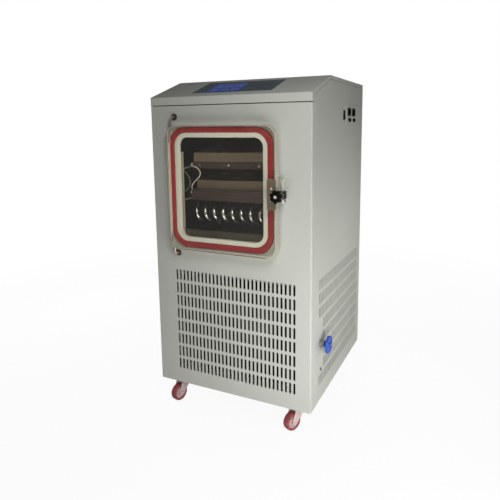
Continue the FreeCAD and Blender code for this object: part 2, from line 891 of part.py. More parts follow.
def lowerTerminal():
    return Vector(shelfX - shelfWidth / 2 - gripLength, lowerShelfFront + terminalLength,
                  lowerShelfTop - lowerTerminalDrop)


def terminalBlock(corner):
    return Part.makeBox(gripLength, terminalLength, terminalHeight, corner)


def wallGlands():
    wall = chamberX - chamberWidth / 2
    return [Vector(wall, glandY, glandTop), Vector(wall, glandY, glandLow)]


def leadTerminals():
    pieces = [terminalBlock(upperTerminal()), terminalBlock(lowerTerminal())]
    for start in wallGlands():
        pieces.append(rod(start, alongX, terminalRadius, terminalLength, pipeSides))
    return Part.makeCompound(pieces)


def leadTube(points):
    bends = []
    for k in range(1, len(points) - 1):
        before = points[k] - points[k - 1]
        after = points[k + 1] - points[k]
        bends.append(bendShare * min(before.Length, after.Length) / math.tan(before.getAngle(after) / 2))
    return mitredTube(bentPath(points, bends), leadRadius, tubeSides)


def shelfLeadPoints():
    """White lead from the upper terminal, bowed out to the right, to the lower shelf's terminal."""
    start = upperTerminal() + Vector(gripLength / 2, 0, terminalHeight / 2)
    end = lowerTerminal() + Vector(gripLength / 2, terminalLength / 2, terminalHeight)
    between = [(-146, 27.5, 810.2), (-142.5, 21.4, 809.8), (-136.4, 17.9, 808.8), (-128.5, 17.7, 806.8),
               (-119.8, 18.2, 803.3), (-112.5, 19.4, 797.8), (-108.4, 21, 790.3), (-107.8, 22.8, 781.9),
               (-111.3, 24.3, 774.1), (-117.6, 25.4, 767.3), (-125.1, 26.2, 760.9), (-132.7, 26.8, 754.3),
               (-139.8, 27.4, 746.9), (-145.4, 28.6, 738.4), (-146, 32.5, 730)]
    return [start] + [Vector(*p) for p in between] + [end]


def wallLeadPoints():
    """Grey lead between the two glands on the chamber's left wall."""
    start = wallGlands()[0] + Vector(terminalLength, 0, 0)
    end = wallGlands()[1] + Vector(terminalLength, 0, 0)
    between = [(-190, 44, 793.5), (-183.5, 43.6, 790), (-177.5, 43, 784.5), (-171.5, 42.5, 778),
               (-165.8, 42, 771.5), (-161.2, 41.5, 764), (-158.6, 41.1, 755.5), (-158.2, 41, 746.5),
               (-160.4, 41.2, 738), (-164.8, 41.6, 730.3), (-171, 42.2, 724), (-178.5, 43, 719.3),
               (-188, 43.8, 716.5)]
    return [start] + [Vector(*p) for p in between] + [end]


# ---- door ----

def door():
    """Thick clear plate whose hinge edge is half round about the pins, so that it clears the gasket."""
    plate = roundedPlate(doorX, doorZ, doorWidth, doorHeight, doorRadius, doorFront, doorBack)
    front = [e for e in plate.Edges if abs(e.CenterOfMass.y - doorFront) < 0.1]
    plate = plate.makeChamfer(doorBevel, front)
    outline = [Vector(doorRight, doorFront, doorLow), Vector(doorRight, doorBack, doorLow)]
    for step in range(hingeEdgeSteps + 1):
        angle = math.pi * (0.5 + step / hingeEdgeSteps)
        outline.append(Vector(hingeX + doorThickness / 2 * math.cos(angle),
                              hingeY + doorThickness / 2 * math.sin(angle), doorLow))
    keep = prism(outline, Vector(0, 0, doorHeight))
    radius = rodDiameter / 2 + rodClearance
    cuts = [hole(Vector(hingeX, hingeY, doorTop - upperPinDepth - seat), alongZ, radius,
                 upperPinDepth + past + seat),
            hole(Vector(hingeX, hingeY, doorLow - past), alongZ, radius, lowerPinDepth + past + seat)]
    for point in latchScrewPoints():
        cuts.append(hole(point + alongY * (plateThickness - past), alongY, latchScrewShank / 2 + rodClearance,
                         latchScrewLength - plateThickness + past + seat, tubeSides))
    return plate.common(keep).cut(Part.makeCompound(cuts))


def hingeRod(footZ, pinEndZ):
    return bentRod([Vector(hingeX, rodEndDepth, footZ), Vector(hingeX, hingeY, footZ),
                    Vector(hingeX, hingeY, pinEndZ)], rodDiameter / 2, rodBend)


def rodFixings():
    """A washer in front of the panel for each hinge rod and a nut behind it for every rod's end."""
    bore = rodDiameter / 2 + rodClearance
    inner = bore / math.cos(math.pi / smallSides)
    ring = [(washerDiameter / 2, 0), (washerDiameter / 2, washerThickness), (inner, washerThickness), (inner, 0)]
    pieces = [turned(ring, Vector(x, -washerThickness, z), alongY) for x, z in rodFeet()[:2]]
    for x, z in rodFeet():
        pieces.append(hexNut(Vector(x, sheet, z), alongY, nutFlats, nutHeight, rodDiameter / 2 + seat))
    return Part.makeCompound(pieces)


# ---- latch ----

def latchPlate():
    right = doorRight + plateOverhang
    middle = right - plateWidth / 2
    low = latchZ + plateRise - plateHeight / 2
    plate = trayBlock(middle, 0, 0, plateWidth, plateHeight, plateThickness, plateRadius)
    plate.Placement = FreeCAD.Placement(Vector(0, doorFront, low), FreeCAD.Rotation(alongX, 90))
    plate = plate.fuse(box(middle, latchX, plateFace, doorFront, latchZ - lugRadius, latchZ + lugRadius))
    plate = plate.fuse(rod(Vector(latchX, plateFace, latchZ), alongY, lugRadius, plateThickness, wheelSides))
    holes = [hole(Vector(latchX, plateFace - past, latchZ), alongY,
                  studDiameter / 2 + lugHoleClearance, plateThickness + 2 * past)]
    for point in latchScrewPoints():
        holes.append(hole(point - alongY * past, alongY, latchScrewShank / 2 + rodClearance,
                          plateThickness + 2 * past, tubeSides))
    return plate.removeSplitter().cut(Part.makeCompound(holes))


def latchScrewPoints():
    x = doorRight + plateOverhang - plateWidth / 2
    middle = latchZ + plateRise
    return [Vector(x, plateFace, middle + latchScrewSpacing / 2),
            Vector(x, plateFace, middle - latchScrewSpacing / 2)]


def latchScrews():
    return Part.makeCompound([screw(point + alongY * latchScrewLength, -alongY, latchScrewShank, latchScrewLength,
                                    latchScrewHead, latchScrewHeight) for point in latchScrewPoints()])


def latchStud():
    return rod(Vector(latchX, studTip, latchZ), -alongY, studDiameter / 2, studTip + knobFace + studProud)


def lobedRing(radius, lobes, valley, height, first):
    """Outline with broad lobes and a shallow valley after each of them."""
    points = []
    for k in range(lobes):
        for share, reach in ((-lobeHalf, radius), (0, radius), (lobeHalf, radius), (0.5, radius - valley)):
            angle = 2 * math.pi * (k + share) / lobes + math.radians(first)
            points.append(Vector(reach * math.cos(angle), reach * math.sin(angle), height))
    return points


def latchKnob():
    """Star knob: a hub, a rim with seven lobes and a domed face."""
    start = plateFace - seat
    length = knobFace + start
    levels = [(knobRadius, length - knobRim), (knobRadius, length - knobDome), (knobRadius * knobCrown, length)]
    rim = ringSolid([lobedRing(radius, knobLobes, knobScallopDepth * radius / knobRadius, height, knobFirstLobe)
                     for radius, height in levels], False)
    knob = rim.fuse(rod(Vector(0, 0, 0), alongZ, knobHubRadius, length - knobDome))
    knob = knob.cut(hole(Vector(0, 0, -past), alongZ, studDiameter / 2 + knobBoreClearance, length + 2 * past))
    return stood(knob.removeSplitter(), Vector(latchX, start, latchZ), -alongY)


def keeperRod():
    reach = keeperSpan / 2 - rodDiameter / 2
    middle = latchZ + keeperRise
    return bentRod([Vector(latchX, rodEndDepth, middle + reach), Vector(latchX, keeperRodY, middle + reach),
                    Vector(latchX, keeperRodY, middle - reach), Vector(latchX, rodEndDepth, middle - reach)],
                   rodDiameter / 2, keeperFootBend)


def keeperBlock():
    block = box(latchX - keeperWidth / 2, latchX + keeperWidth / 2, keeperFront, keeperBack,
                latchZ - keeperHeight / 2, latchZ + keeperHeight / 2)
    upright = hole(Vector(latchX, keeperRodY, latchZ - keeperHeight), alongZ, rodDiameter / 2 + rodClearance,
                   2 * keeperHeight)
    blind = hole(Vector(latchX, keeperFront - past, latchZ), alongY, studDiameter / 2 + keeperClearance,
                 studEngagement + past + seat)
    return block.cut(upright).cut(blind)


# ---- connectors and main switch ----

def connectorPlate():
    plate = box(halfWidth, halfWidth + connectorThickness, connectorY - connectorWidth / 2,
                connectorY + connectorWidth / 2, connectorZ - connectorHeight / 2,
                connectorZ + connectorHeight / 2)
    cuts = []
    for y in socketYs:
        cuts.append(socketBodyBox(y, seat))
        cuts.append(hole(Vector(halfWidth - past, y, fuseZ), alongX, fuseBodyRadius + seat, 2 * socketReach,
                         pipeSides))
    return plate.cut(Part.makeCompound(cuts))


def socketBodyBox(y, clearance):
    """The socket's body behind its flange, or with a clearance the cutter for its opening."""
    halfY = socketWidth / 2 - socketFlange + clearance
    halfZ = socketHeight / 2 - socketFlange + clearance
    return box(halfWidth - socketBody, halfWidth + 2 * connectorThickness, y - halfY, y + halfY,
               socketZ - halfZ, socketZ + halfZ)


def powerSockets():
    """Two power sockets: a flange, a body behind it, and three flat pins standing in a recess."""
    face = halfWidth + connectorThickness
    front = face + socketReach
    sockets = []
    for y in socketYs:
        socket = box(face, front, y - socketWidth / 2, y + socketWidth / 2,
                     socketZ - socketHeight / 2, socketZ + socketHeight / 2)
        socket = socket.fuse(socketBodyBox(y, 0)).removeSplitter()
        floor = front - socketRecessDepth
        socket = socket.cut(box(floor, front + past, y - socketRecessWidth / 2, y + socketRecessWidth / 2,
                                socketZ - socketRecessHeight / 2, socketZ + socketRecessHeight / 2))
        for offset, rise in ((-socketPinSpread, -socketPinDrop), (0, socketPinRise),
                             (socketPinSpread, -socketPinDrop)):
            socket = socket.fuse(box(floor - past, floor + socketPinLength, y + offset - socketPinThickness / 2,
                                     y + offset + socketPinThickness / 2, socketZ + rise - socketPinWidth / 2,
                                     socketZ + rise + socketPinWidth / 2))
        sockets.append(socket)
    return Part.makeCompound(sockets)


def fuseHolders():
    face = halfWidth + connectorThickness
    profile = [(0, 0), (fuseBodyRadius, 0), (fuseBodyRadius, fuseBody), (fuseRadius, fuseBody),
               (fuseRadius, fuseBody + fuseReach), (0, fuseBody + fuseReach)]
    return Part.makeCompound([turned(profile, Vector(face - fuseBody, y, fuseZ), alongX) for y in socketYs])


def switchBodyBox(clearance):
    """The switch's body behind its flange, or with a clearance the cutter for its opening."""
    halfY = switchWidth / 2 - switchFlange + clearance
    halfZ = switchHeight / 2 - switchFlange + clearance
    return box(halfWidth - switchBody, halfWidth + switchReach / 2, switchY - halfY, switchY + halfY,
               switchZ - halfZ, switchZ + halfZ)


def switchFrame():
    front = halfWidth + switchReach
    flange = box(halfWidth, front, switchY - switchWidth / 2, switchY + switchWidth / 2,
                 switchZ - switchHeight / 2, switchZ + switchHeight / 2)
    halfY = switchWidth / 2 - switchFlange - switchWall
    halfZ = switchHeight / 2 - switchFlange - switchWall
    cavity = box(front - switchCavity, front + past, switchY - halfY, switchY + halfY,
                 switchZ - halfZ, switchZ + halfZ)
    return flange.fuse(switchBodyBox(0)).removeSplitter().cut(cavity)


def switchRocker():
    """Rocker whose ends are round about its pivot, with a face that falls to the middle."""
    inset = switchFlange + switchWall + rockerGap
    radius = switchHeight / 2 - inset
    halfThick = switchWidth / 2 - inset
    high = rockerRise + radius * math.tan(math.radians(rockerTilt))
    body = rod(Vector(0, -halfThick, 0), alongY, radius, 2 * halfThick, wheelSides)
    face = prism([Vector(-rockerDepth, -halfThick, -radius), Vector(-rockerDepth, -halfThick, radius),
                  Vector(high, -halfThick, radius), Vector(rockerRise, -halfThick, 0),
                  Vector(high, -halfThick, -radius)], Vector(0, 2 * halfThick, 0))
    rocker = body.common(face)
    pivot = Vector(halfWidth + switchReach - rockerPivotDepth, switchY, switchZ)
    rocker.Placement = FreeCAD.Placement(pivot, FreeCAD.Rotation(alongY, -rockerTilt))
    return rocker


# ---- drain ----

def valveBody():
    """Body with the neck that goes through the side panel and the bonnet that clamps it there."""
    inner = halfWidth - valveInset - valveBodyLength / 2
    face = halfWidth - inner
    front = face + bonnetLength
    bore = (stemRadius + stemClearance) / math.cos(math.pi / smallSides)
    edge = bonnetEdge
    return turned([(0, 0), (valveBodyRadius, 0), (valveBodyRadius, valveBodyLength),
                   (valveNeckRadius, valveBodyLength), (valveNeckRadius, face), (bonnetRadius, face),
                   (bonnetRadius, front - edge), (bonnetRadius - edge, front), (bore, front),
                   (bore, face - stemDepth - seat), (0, face - stemDepth - seat)],
                  Vector(inner, valveY, valveZ), alongX)


def valveStem():
    """Stem with the nut that holds the handwheel on it."""
    start = halfWidth - stemDepth
    stem = rod(Vector(start, valveY, valveZ), alongX, stemRadius, stemEndX - start)
    nut = hexNut(Vector(wheelHubFront, valveY, valveZ), alongX, wheelNutFlats, wheelNutHeight,
                 stemRadius + stemClearance)
    return Part.makeCompound([stem, nut])


def valveHandwheel():
    """Dished wheel with a scalloped rim, a thin web and a hub."""
    low = wheelHubBack
    high = wheelHubBack + wheelThickness
    middle = (low + high) / 2
    rim = ringSolid([lobedRing(wheelRadius, wheelScallops, wheelScallopDepth, height, 0)
                     for height in (low, high)], False)
    for start in (low - past, middle + wheelWeb / 2):
        rim = rim.cut(rod(Vector(0, 0, start), alongZ, wheelRadius - wheelRim,
                          wheelThickness / 2 - wheelWeb / 2 + past, hiddenSides))
    hub = rod(Vector(0, 0, 0), alongZ, wheelHubRadius, middle + wheelHubRise)
    bore = hole(Vector(0, 0, -past), alongZ, stemRadius + stemClearance, 2 * high)
    wheel = rim.fuse(hub).removeSplitter().cut(bore)
    return stood(wheel, Vector(wheelBackX - wheelHubBack, valveY, valveZ), alongX)


def drainPipe(points):
    return mitredTube(bentPath(points, [valvePipeBend] * (len(points) - 2)), valvePipeRadius, pipeSides)


def drainPipes():
    """From the chamber's floor to the valve, and from the valve through the side panel."""
    valveX = halfWidth - valveInset
    upper = drainPipe([Vector(drainX, valveY, chamberFloor), Vector(drainX, valveY, drainBendZ),
                       Vector(valveX, valveY, drainBendZ), Vector(valveX, valveY, valveZ)])
    lower = drainPipe([Vector(valveX, valveY, valveZ), Vector(valveX, valveY, outletZ),
                       Vector(halfWidth + outletProud, valveY, outletZ)])
    bore = hole(Vector(halfWidth - outletBoreDepth, valveY, outletZ), alongX, outletBore,
                outletBoreDepth + 2 * outletProud, pipeSides)
    return Part.makeCompound([upper.cut(valveBody()), lower.cut(valveBody()).cut(bore)])


# ---- casters ----

def casterPlaces():
    return {"front_left": Vector(-casterX, casterFront, 0), "front_right": Vector(casterX, casterFront, 0),
            "rear_left": Vector(-casterX, casterRear, 0), "rear_right": Vector(casterX, casterRear, 0)}


def atCaster(shape, name):
    moved = shape.copy()
    turn = FreeCAD.Placement(casterPlaces()[name], FreeCAD.Rotation(alongZ, -casterTurns[name]))
    moved.Placement = turn.multiply(shape.Placement)
    return moved


def casterPlates():
    """Mounting plate, ball race and kingpin of each caster."""
    plates = []
    race = -casterPlate - casterRace
    pinLength = casterRace + swivelGap + forkThickness + kingpinReach
    for place in casterPlaces().values():
        plate = box(place.x - casterPlateX / 2, place.x + casterPlateX / 2, place.y - casterPlateY / 2,
                    place.y + casterPlateY / 2, -casterPlate, 0)
        plate = plate.fuse(rod(place + alongZ * race, alongZ, casterRaceRadius, casterRace))
        pin = rod(place - alongZ * (casterPlate + pinLength), alongZ, kingpinRadius, pinLength, pipeSides)
        plates.append(plate.fuse(pin).removeSplitter())
    return Part.makeCompound(plates)


def casterFork():
    """Pressed fork: a crown under the race and two legs that narrow to the axle."""
    top = -casterPlate - casterRace - swivelGap
    inside = casterWheelWidth / 2 + forkGap
    outside = inside + forkThickness
    axleZ = wheelDiameter / 2 - casterHeight
    head = forkHead / 2
    foot = forkFoot / 2
    fork = box(-outside, outside, -head, head, top - forkThickness, top)
    fork = fork.cut(hole(Vector(0, 0, top - 2 * forkThickness), alongZ, kingpinRadius + kingpinClearance,
                         3 * forkThickness, pipeSides))
    outline = [(-head, top), (head, top), (head, top - foot)]
    for degrees in forkFootAngles:
        angle = math.radians(degrees)
        outline.append((-casterTrail + foot * math.cos(angle), axleZ + foot * math.sin(angle)))
    for x in (-outside, inside):
        fork = fork.fuse(prism([Vector(x, y, z) for y, z in outline], Vector(forkThickness, 0, 0)))
    return fork.removeSplitter().cut(hole(Vector(-outside - past, -casterTrail, axleZ), alongX, axleRadius,
                                          2 * (outside + past), tubeSides))


def casterAxle():
    """Axle bolt that ends in a low head outside each fork leg."""
    length = casterWheelWidth + 2 * (forkGap + forkThickness + axleHeadHeight)
    return rod(Vector(-length / 2, -casterTrail, wheelDiameter / 2 - casterHeight), alongX, axleRadius, length,
               tubeSides)


def casterWheel():
    axle = Vector(0, -casterTrail, wheelDiameter / 2 - casterHeight)
    wheel = rod(axle - alongX * (casterWheelWidth / 2), alongX, wheelDiameter / 2, casterWheelWidth, wheelSides)
    return wheel.cut(hole(axle - alongX * casterWheelWidth, alongX, axleRadius + axleClearance,
                          2 * casterWheelWidth, tubeSides))


# ---- cooling unit ----

def radiator():
    core = box(-radiatorWidth / 2, radiatorWidth / 2, radiatorFront, radiatorFront + radiatorDepth,
               radiatorLow, radiatorLow + radiatorHeight)
    for x in (-radiatorWidth / 2 - radiatorEnd, radiatorWidth / 2):
        core = core.fuse(box(x, x + radiatorEnd, radiatorFront, radiatorFront + radiatorDepth,
                             panFloor, radiatorLow + radiatorHeight))
    return core.removeSplitter()


def fanCentre(y):
    return Vector(0, y, radiatorLow + radiatorHeight / 2)


def fanShroud():
    back = radiatorFront + radiatorDepth
    opening = fanRadius + fanClearance
    plate = box(-radiatorWidth / 2, radiatorWidth / 2, back, back + shroudPlate,
                radiatorLow, radiatorLow + radiatorHeight)
    collar = rod(fanCentre(back), alongY, opening + shroudWall, shroudDepth, hiddenSides)
    return plate.fuse(collar).cut(rod(fanCentre(back - past), alongY, opening, shroudDepth + 2 * past,
                                      hiddenSides))


def fanBladesSolid():
    """Hub and pitched blades, each wider at its tip."""
    root = fanBladeRoot / 2
    fan = rod(Vector(0, -fanDepth / 2, 0), alongY, fanHub, fanDepth)
    for k in range(fanBlades):
        blade = prism([Vector(0, -fanBladeThickness / 2, -root),
                       Vector(fanBladeReach, -fanBladeThickness / 2, -fanBladeTipRise),
                       Vector(fanBladeReach, -fanBladeThickness / 2, fanBladeTipDrop),
                       Vector(0, -fanBladeThickness / 2, root)], Vector(0, fanBladeThickness, 0))
        blade.rotate(Vector(0, 0, 0), alongX, fanBladePitch)
        blade.rotate(Vector(0, 0, 0), alongY, 360.0 * k / fanBlades)
        fan = fan.fuse(blade)
    bore = hole(Vector(0, -fanDepth, 0), alongY, stemRadius + stemClearance, 2 * fanDepth, pipeSides)
    fan = fan.removeSplitter().cut(bore)
    middle = radiatorFront + radiatorDepth + shroudDepth / 2
    fan.Placement = FreeCAD.Placement(fanCentre(middle), FreeCAD.Rotation())
    return fan


def fanMotor():
    """Motor behind the fan, held on the shroud's collar by four arms."""
    back = radiatorFront + radiatorDepth + shroudDepth
    reach = fanRadius + fanClearance + shroudWall
    motor = rod(fanCentre(back), alongY, motorRadius, motorLength)
    for turn in (45, 135):
        arm = Part.makeBox(2 * reach, motorStrut, motorStrutWidth, Vector(-reach, 0, -motorStrutWidth / 2))
        arm.rotate(Vector(0, 0, 0), alongY, turn)
        arm.translate(fanCentre(back))
        motor = motor.fuse(arm)
    shaft = (shroudDepth + fanDepth) / 2
    return motor.fuse(rod(fanCentre(back - shaft), alongY, stemRadius, shaft + past, pipeSides)).removeSplitter()


def compressor():
    """Welded can on a foot plate that stands on four rubber feet."""
    foot = compressorRadius
    plate = box(compressorX - foot - compressorFoot, compressorX + foot + compressorFoot,
                compressorY - compressorPlateDepth / 2, compressorY + compressorPlateDepth / 2,
                compressorLift, compressorLift + compressorPlate)
    can = turned([(0, 0), (foot - compressorChamfer, 0), (foot, compressorChamfer), (foot, compressorShoulder),
                  (compressorCrownRadius, compressorCrown), (0, compressorHeight)],
                 Vector(compressorX, compressorY, compressorLift + compressorPlate), alongZ, hiddenSides)
    return plate.fuse(can).removeSplitter()


def compressorFeet():
    feet = []
    for x in (-compressorRadius, compressorRadius):
        for y in (-compressorRadius / 2, compressorRadius / 2):
            feet.append(rod(Vector(compressorX + x, compressorY + y, panFloor), alongZ,
                            compressorFoot, compressorLift - panFloor, tubeSides))
    return Part.makeCompound(feet)


def suctionPipe():
    """From the coil's upper leg down to the compressor's side."""
    x, z = coilEnds()[0]
    start = chamberRear + coilReach
    back = start + suctionDrop
    low = compressorLift + compressorHeight / 2
    bottom = Vector(x, back, low)
    centre = Vector(compressorX, compressorY, low)
    points = [Vector(x, start, z), Vector(x, back, z), bottom, centre]
    tube = mitredTube(bentPath(points, [pipeBend, pipeBend]), pipeRadius, tubeSides)
    return tube.cut(compressor())


# ---- the whole ----

parts = {
    "front_panel": frontPanel(),
    "side_panel_left": sidePanel(-1),
    "side_panel_right": sidePanel(1),
    "back_panel": backPanel(),
    "top_cover": topCover(),
    "base_pan": basePan(),
    "cabinet_posts": cabinetPosts(),
    "chamber_beams": chamberBeams(),
    "control_overlay": controlOverlay(),
    "display_window": displayWindow(),
    "controller_housing": controllerHousing(),
    "chamber_shell": chamberShell(),
    "chamber_flange": chamberFlange(),
    "door_gasket": doorGasket(),
    "vacuum_port": vacuumPort(),
    "upper_shelf": upperShelf(),
    "lower_shelf": lowerShelf(),
    "shelf_screws": shelfScrews(),
    "shelf_rack": shelfRack(),
    "upper_tray": openTray(shelfX, upperTrayFront, upperShelfTop, trayWidth, trayDepth, trayHeight),
    "lower_tray": openTray(shelfX, lowerTrayFront, lowerShelfTop, trayWidth, trayDepth, trayHeight),
    "drip_tray": openTray(chamberX, dripTrayFront, chamberFloor, dripTrayWidth, dripTrayDepth, dripTrayHeight),
    "condenser_coil": condenserCoil(),
    "lead_terminals": leadTerminals(),
    "shelf_lead": leadTube(shelfLeadPoints()),
    "wall_lead": leadTube(wallLeadPoints()),
    "door": door(),
    "hinge_rod_upper": hingeRod(doorTop + upperFootRise, doorTop - upperPinDepth),
    "hinge_rod_lower": hingeRod(doorLow - lowerFootDrop, doorLow + lowerPinDepth),
    "rod_fixings": rodFixings(),
    "latch_plate": latchPlate(),
    "latch_screws": latchScrews(),
    "latch_stud": latchStud(),
    "latch_knob": latchKnob(),
    "keeper_rod": keeperRod(),
    "keeper_block": keeperBlock(),
    "connector_plate": connectorPlate(),
    "power_sockets": powerSockets(),
    "fuse_holders": fuseHolders(),
    "main_switch_frame": switchFrame(),
    "main_switch_rocker": switchRocker(),
    "drain_valve": valveBody(),
    "drain_valve_stem": valveStem(),
    "drain_handwheel": valveHandwheel(),
    "drain_pipes": drainPipes(),
    "caster_plates": casterPlates(),
    "radiator": radiator(),
    "fan_shroud": fanShroud(),
    "fan_blades": fanBladesSolid(),
    "fan_motor": fanMotor(),
    "compressor": Part.makeCompound([compressor(), compressorFeet()]),
    "suction_pipe": suctionPipe(),
}
for casterName in casterTurns:
    parts["caster_fork_" + casterName] = atCaster(Part.makeCompound([casterFork(), casterAxle()]), casterName)
    parts["caster_wheel_" + casterName] = atCaster(casterWheel(), casterName)

rowOffset = Vector(-originX, -originY, casterHeight)
os.makedirs("parts", exist_ok=True)
for node, shape in parts.items():
    placed = shape.copy()
    placed.translate(rowOffset)
    placed.exportStep("parts/" + node + ".step")
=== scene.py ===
import math

import bmesh
import bpy
from mathutils import Matrix, Vector


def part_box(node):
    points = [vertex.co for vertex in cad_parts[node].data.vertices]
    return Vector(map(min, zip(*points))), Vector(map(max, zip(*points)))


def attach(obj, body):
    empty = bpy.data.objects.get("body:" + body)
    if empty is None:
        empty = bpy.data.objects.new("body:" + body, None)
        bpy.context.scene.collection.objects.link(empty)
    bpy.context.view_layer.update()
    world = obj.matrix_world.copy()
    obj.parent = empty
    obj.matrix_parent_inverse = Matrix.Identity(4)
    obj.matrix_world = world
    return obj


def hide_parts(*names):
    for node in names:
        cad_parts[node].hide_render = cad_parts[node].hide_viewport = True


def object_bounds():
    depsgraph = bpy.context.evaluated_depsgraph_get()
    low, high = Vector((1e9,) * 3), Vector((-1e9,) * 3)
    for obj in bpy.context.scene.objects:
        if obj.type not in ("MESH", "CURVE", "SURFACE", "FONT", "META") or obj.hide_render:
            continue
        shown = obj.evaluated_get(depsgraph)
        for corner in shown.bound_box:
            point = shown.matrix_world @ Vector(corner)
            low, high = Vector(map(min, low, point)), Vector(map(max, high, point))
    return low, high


# Looks of a floor-standing freeze dryer, in metres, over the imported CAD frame.
# Front faces -Y, +X is to the right as seen from the front, +Z is up.

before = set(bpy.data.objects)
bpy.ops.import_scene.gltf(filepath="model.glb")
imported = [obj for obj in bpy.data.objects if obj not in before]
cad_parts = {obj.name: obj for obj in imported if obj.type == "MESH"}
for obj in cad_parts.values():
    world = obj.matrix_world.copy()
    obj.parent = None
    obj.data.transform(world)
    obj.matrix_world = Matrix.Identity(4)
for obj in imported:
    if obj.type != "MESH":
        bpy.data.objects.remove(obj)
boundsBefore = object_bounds()
alongX = Vector((1, 0, 0))
alongY = Vector((0, 1, 0))


class Wire:
    # a shader socket that takes part in plain sums
    def __init__(self, surface, socket):
        self.surface = surface
        self.socket = socket

    def maths(self, operation, first, second=0.0):
        return self.surface.make("ShaderNodeMath", {0: first, 1: second}, operation=operation)

    def __add__(self, other):
        return self.maths("ADD", self, other)

    def __sub__(self, other):
        return self.maths("SUBTRACT", self, other)

    def __mul__(self, other):
        return self.maths("MULTIPLY", self, other)

    def __rsub__(self, other):
        return self.maths("SUBTRACT", other, self)

    __radd__ = __add__
    __rmul__ = __mul__

    def below(self, limit):
        return self.maths("LESS_THAN", self, limit)

    def size(self):
        return self.maths("ABSOLUTE", self)

    def most(self, other):
        return self.maths("MAXIMUM", self, other)

    def root(self):
        return self.maths("SQRT", self)

    def ramp(self, low, high):
        # 0 at low and 1 at high, held between them
        return self.surface.make("ShaderNodeMapRange", {0: self, 1: low, 2: high}, clamp=True)


class Surface:
    # one procedural material, or the world, and the means to wire it
    def __init__(self, name, store=bpy.data.materials, shader="Principled BSDF"):
        self.material = store.new(name)
        self.material.use_nodes = True
        self.tree = self.material.node_tree
        self.shader = self.tree.nodes[shader]
        self.position = None

    def make(self, kind, inputs=None, output=0, **settings):
        node = self.tree.nodes.new(kind)
        for name, value in settings.items():
            setattr(node, name, value)
        for key, value in (inputs or {}).items():
            self.feed(node.inputs[key], value)
        return Wire(self, node.outputs[output])

    def feed(self, socket, value):
        if isinstance(value, Wire):
            self.tree.links.new(value.socket, socket)
        else:
            socket.default_value = value

    def place(self, stretch=(1, 1, 1)):
        if self.position is None:
            self.position = self.make("ShaderNodeTexCoord", output="Object")
        return self.make("ShaderNodeVectorMath", {0: self.position, 1: stretch}, operation="MULTIPLY")

    def parts(self):
        split = self.make("ShaderNodeSeparateXYZ", {0: self.place()})
        return [Wire(self, output) for output in split.socket.node.outputs]

    def noise(self, scale, detail=3.0, stretch=(1, 1, 1)):
        inputs = {"Vector": self.place(stretch), "Scale": scale, "Detail": detail}
        return self.make("ShaderNodeTexNoise", inputs)

    def mix(self, factor, first, second):
        mixed = self.make("ShaderNodeMix", {0: factor, 6: first, 7: second}, data_type="RGBA")
        return Wire(self, mixed.socket.node.outputs[2])

    def bump(self, height, strength, distance):
        return self.make("ShaderNodeBump", {"Height": height, "Strength": strength, "Distance": distance})

    def use(self, **inputs):
        for name, value in inputs.items():
            words = "".join(" " + c if c.isupper() else c for c in name).strip()
            self.feed(self.shader.inputs[words], value)
        return self.material

    def rays(self, kind):
        # what the light path says of the ray: 1 or 0 for a kind, or a count of bounces
        return Wire(self, self.make("ShaderNodeLightPath").socket.node.outputs[kind])

    def blend(self, factor, other):
        # the main shader gives way to another one by a factor
        whole = Wire(self, self.shader.outputs["BSDF"])
        mixed = self.make("ShaderNodeMixShader", {0: factor, 1: whole, 2: other})
        self.tree.links.new(mixed.socket, self.tree.nodes["Material Output"].inputs["Surface"])

    def seen(self):
        # 1 where the eye looks straight or through the clear door, otherwise 0
        direct = self.rays("Is Camera Ray").most(self.rays("Is Transmission Ray"))
        return direct * (self.rays("Glossy Depth") + self.rays("Diffuse Depth")).below(0.5)


def colour(red, green, blue):
    # from the 0-255 values that a person reads off a swatch to linear light
    linear = [((c / 255 + 0.055) / 1.055) ** 2.4 if c > 10 else c / 3295 for c in (red, green, blue)]
    return (*linear, 1.0)


def mottled(name, light, dark, metallic=0.0, roughness=0.5, spread=0.12, grain=600.0, grainDepth=0.00003,
            stretch=(1, 1, 1), broad=6.0, coat=0.0, mirror=0.5):
    # a finish whose tone wanders slowly and whose grain is a fine bump
    s = Surface(name)
    wander = s.noise(broad, 3.0)
    fine = s.noise(grain, 2.0, stretch)
    tone = wander * 0.7 + fine * 0.3
    s.use(BaseColor=s.mix(tone.ramp(0.3, 0.7), colour(*dark), colour(*light)), Metallic=metallic,
          Roughness=roughness + (fine - 0.5) * spread * 2, CoatWeight=coat,
          Normal=s.bump(fine, 0.6, grainDepth))
    s.shader.inputs["Specular IOR Level"].default_value = mirror
    return s.material


def skin(work, rings, looped=False):
    # faces between rings of points, capped at both ends unless the rings close on themselves
    rows = [[work.verts.new(point) for point in ring] for ring in rings]
    for low, high in zip(rows, rows[1:] + rows[:1] if looped else rows[1:]):
        for k in range(len(low)):
            n = (k + 1) % len(low)
            work.faces.new((low[k], low[n], high[n], high[k]))
    if not looped:
        work.faces.new(rows[0])
        work.faces.new(rows[-1])


def block(work, low, high):
    corners = [(low.x, low.y), (high.x, low.y), (high.x, high.y), (low.x, high.y)]
    skin(work, [[Vector((x, y, z)) for x, y in corners] for z in (low.z, high.z)])


def lathe(work, profile, start, axis, steps=48, closed=False):
    # turned solid from (radius, height) points about an axis through start
    turn = axis.to_track_quat("Z", "Y").to_matrix()
    verts = [work.verts.new(start + turn @ Vector((radius, 0, height))) for radius, height in profile]
    edges = [work.edges.new(pair) for pair in zip(verts, verts[1:])]
    if closed:
        edges.append(work.edges.new((verts[-1], verts[0])))
    bmesh.ops.spin(work, geom=verts + edges, cent=start, axis=axis, angle=2 * math.pi, steps=steps,
                   use_merge=True)


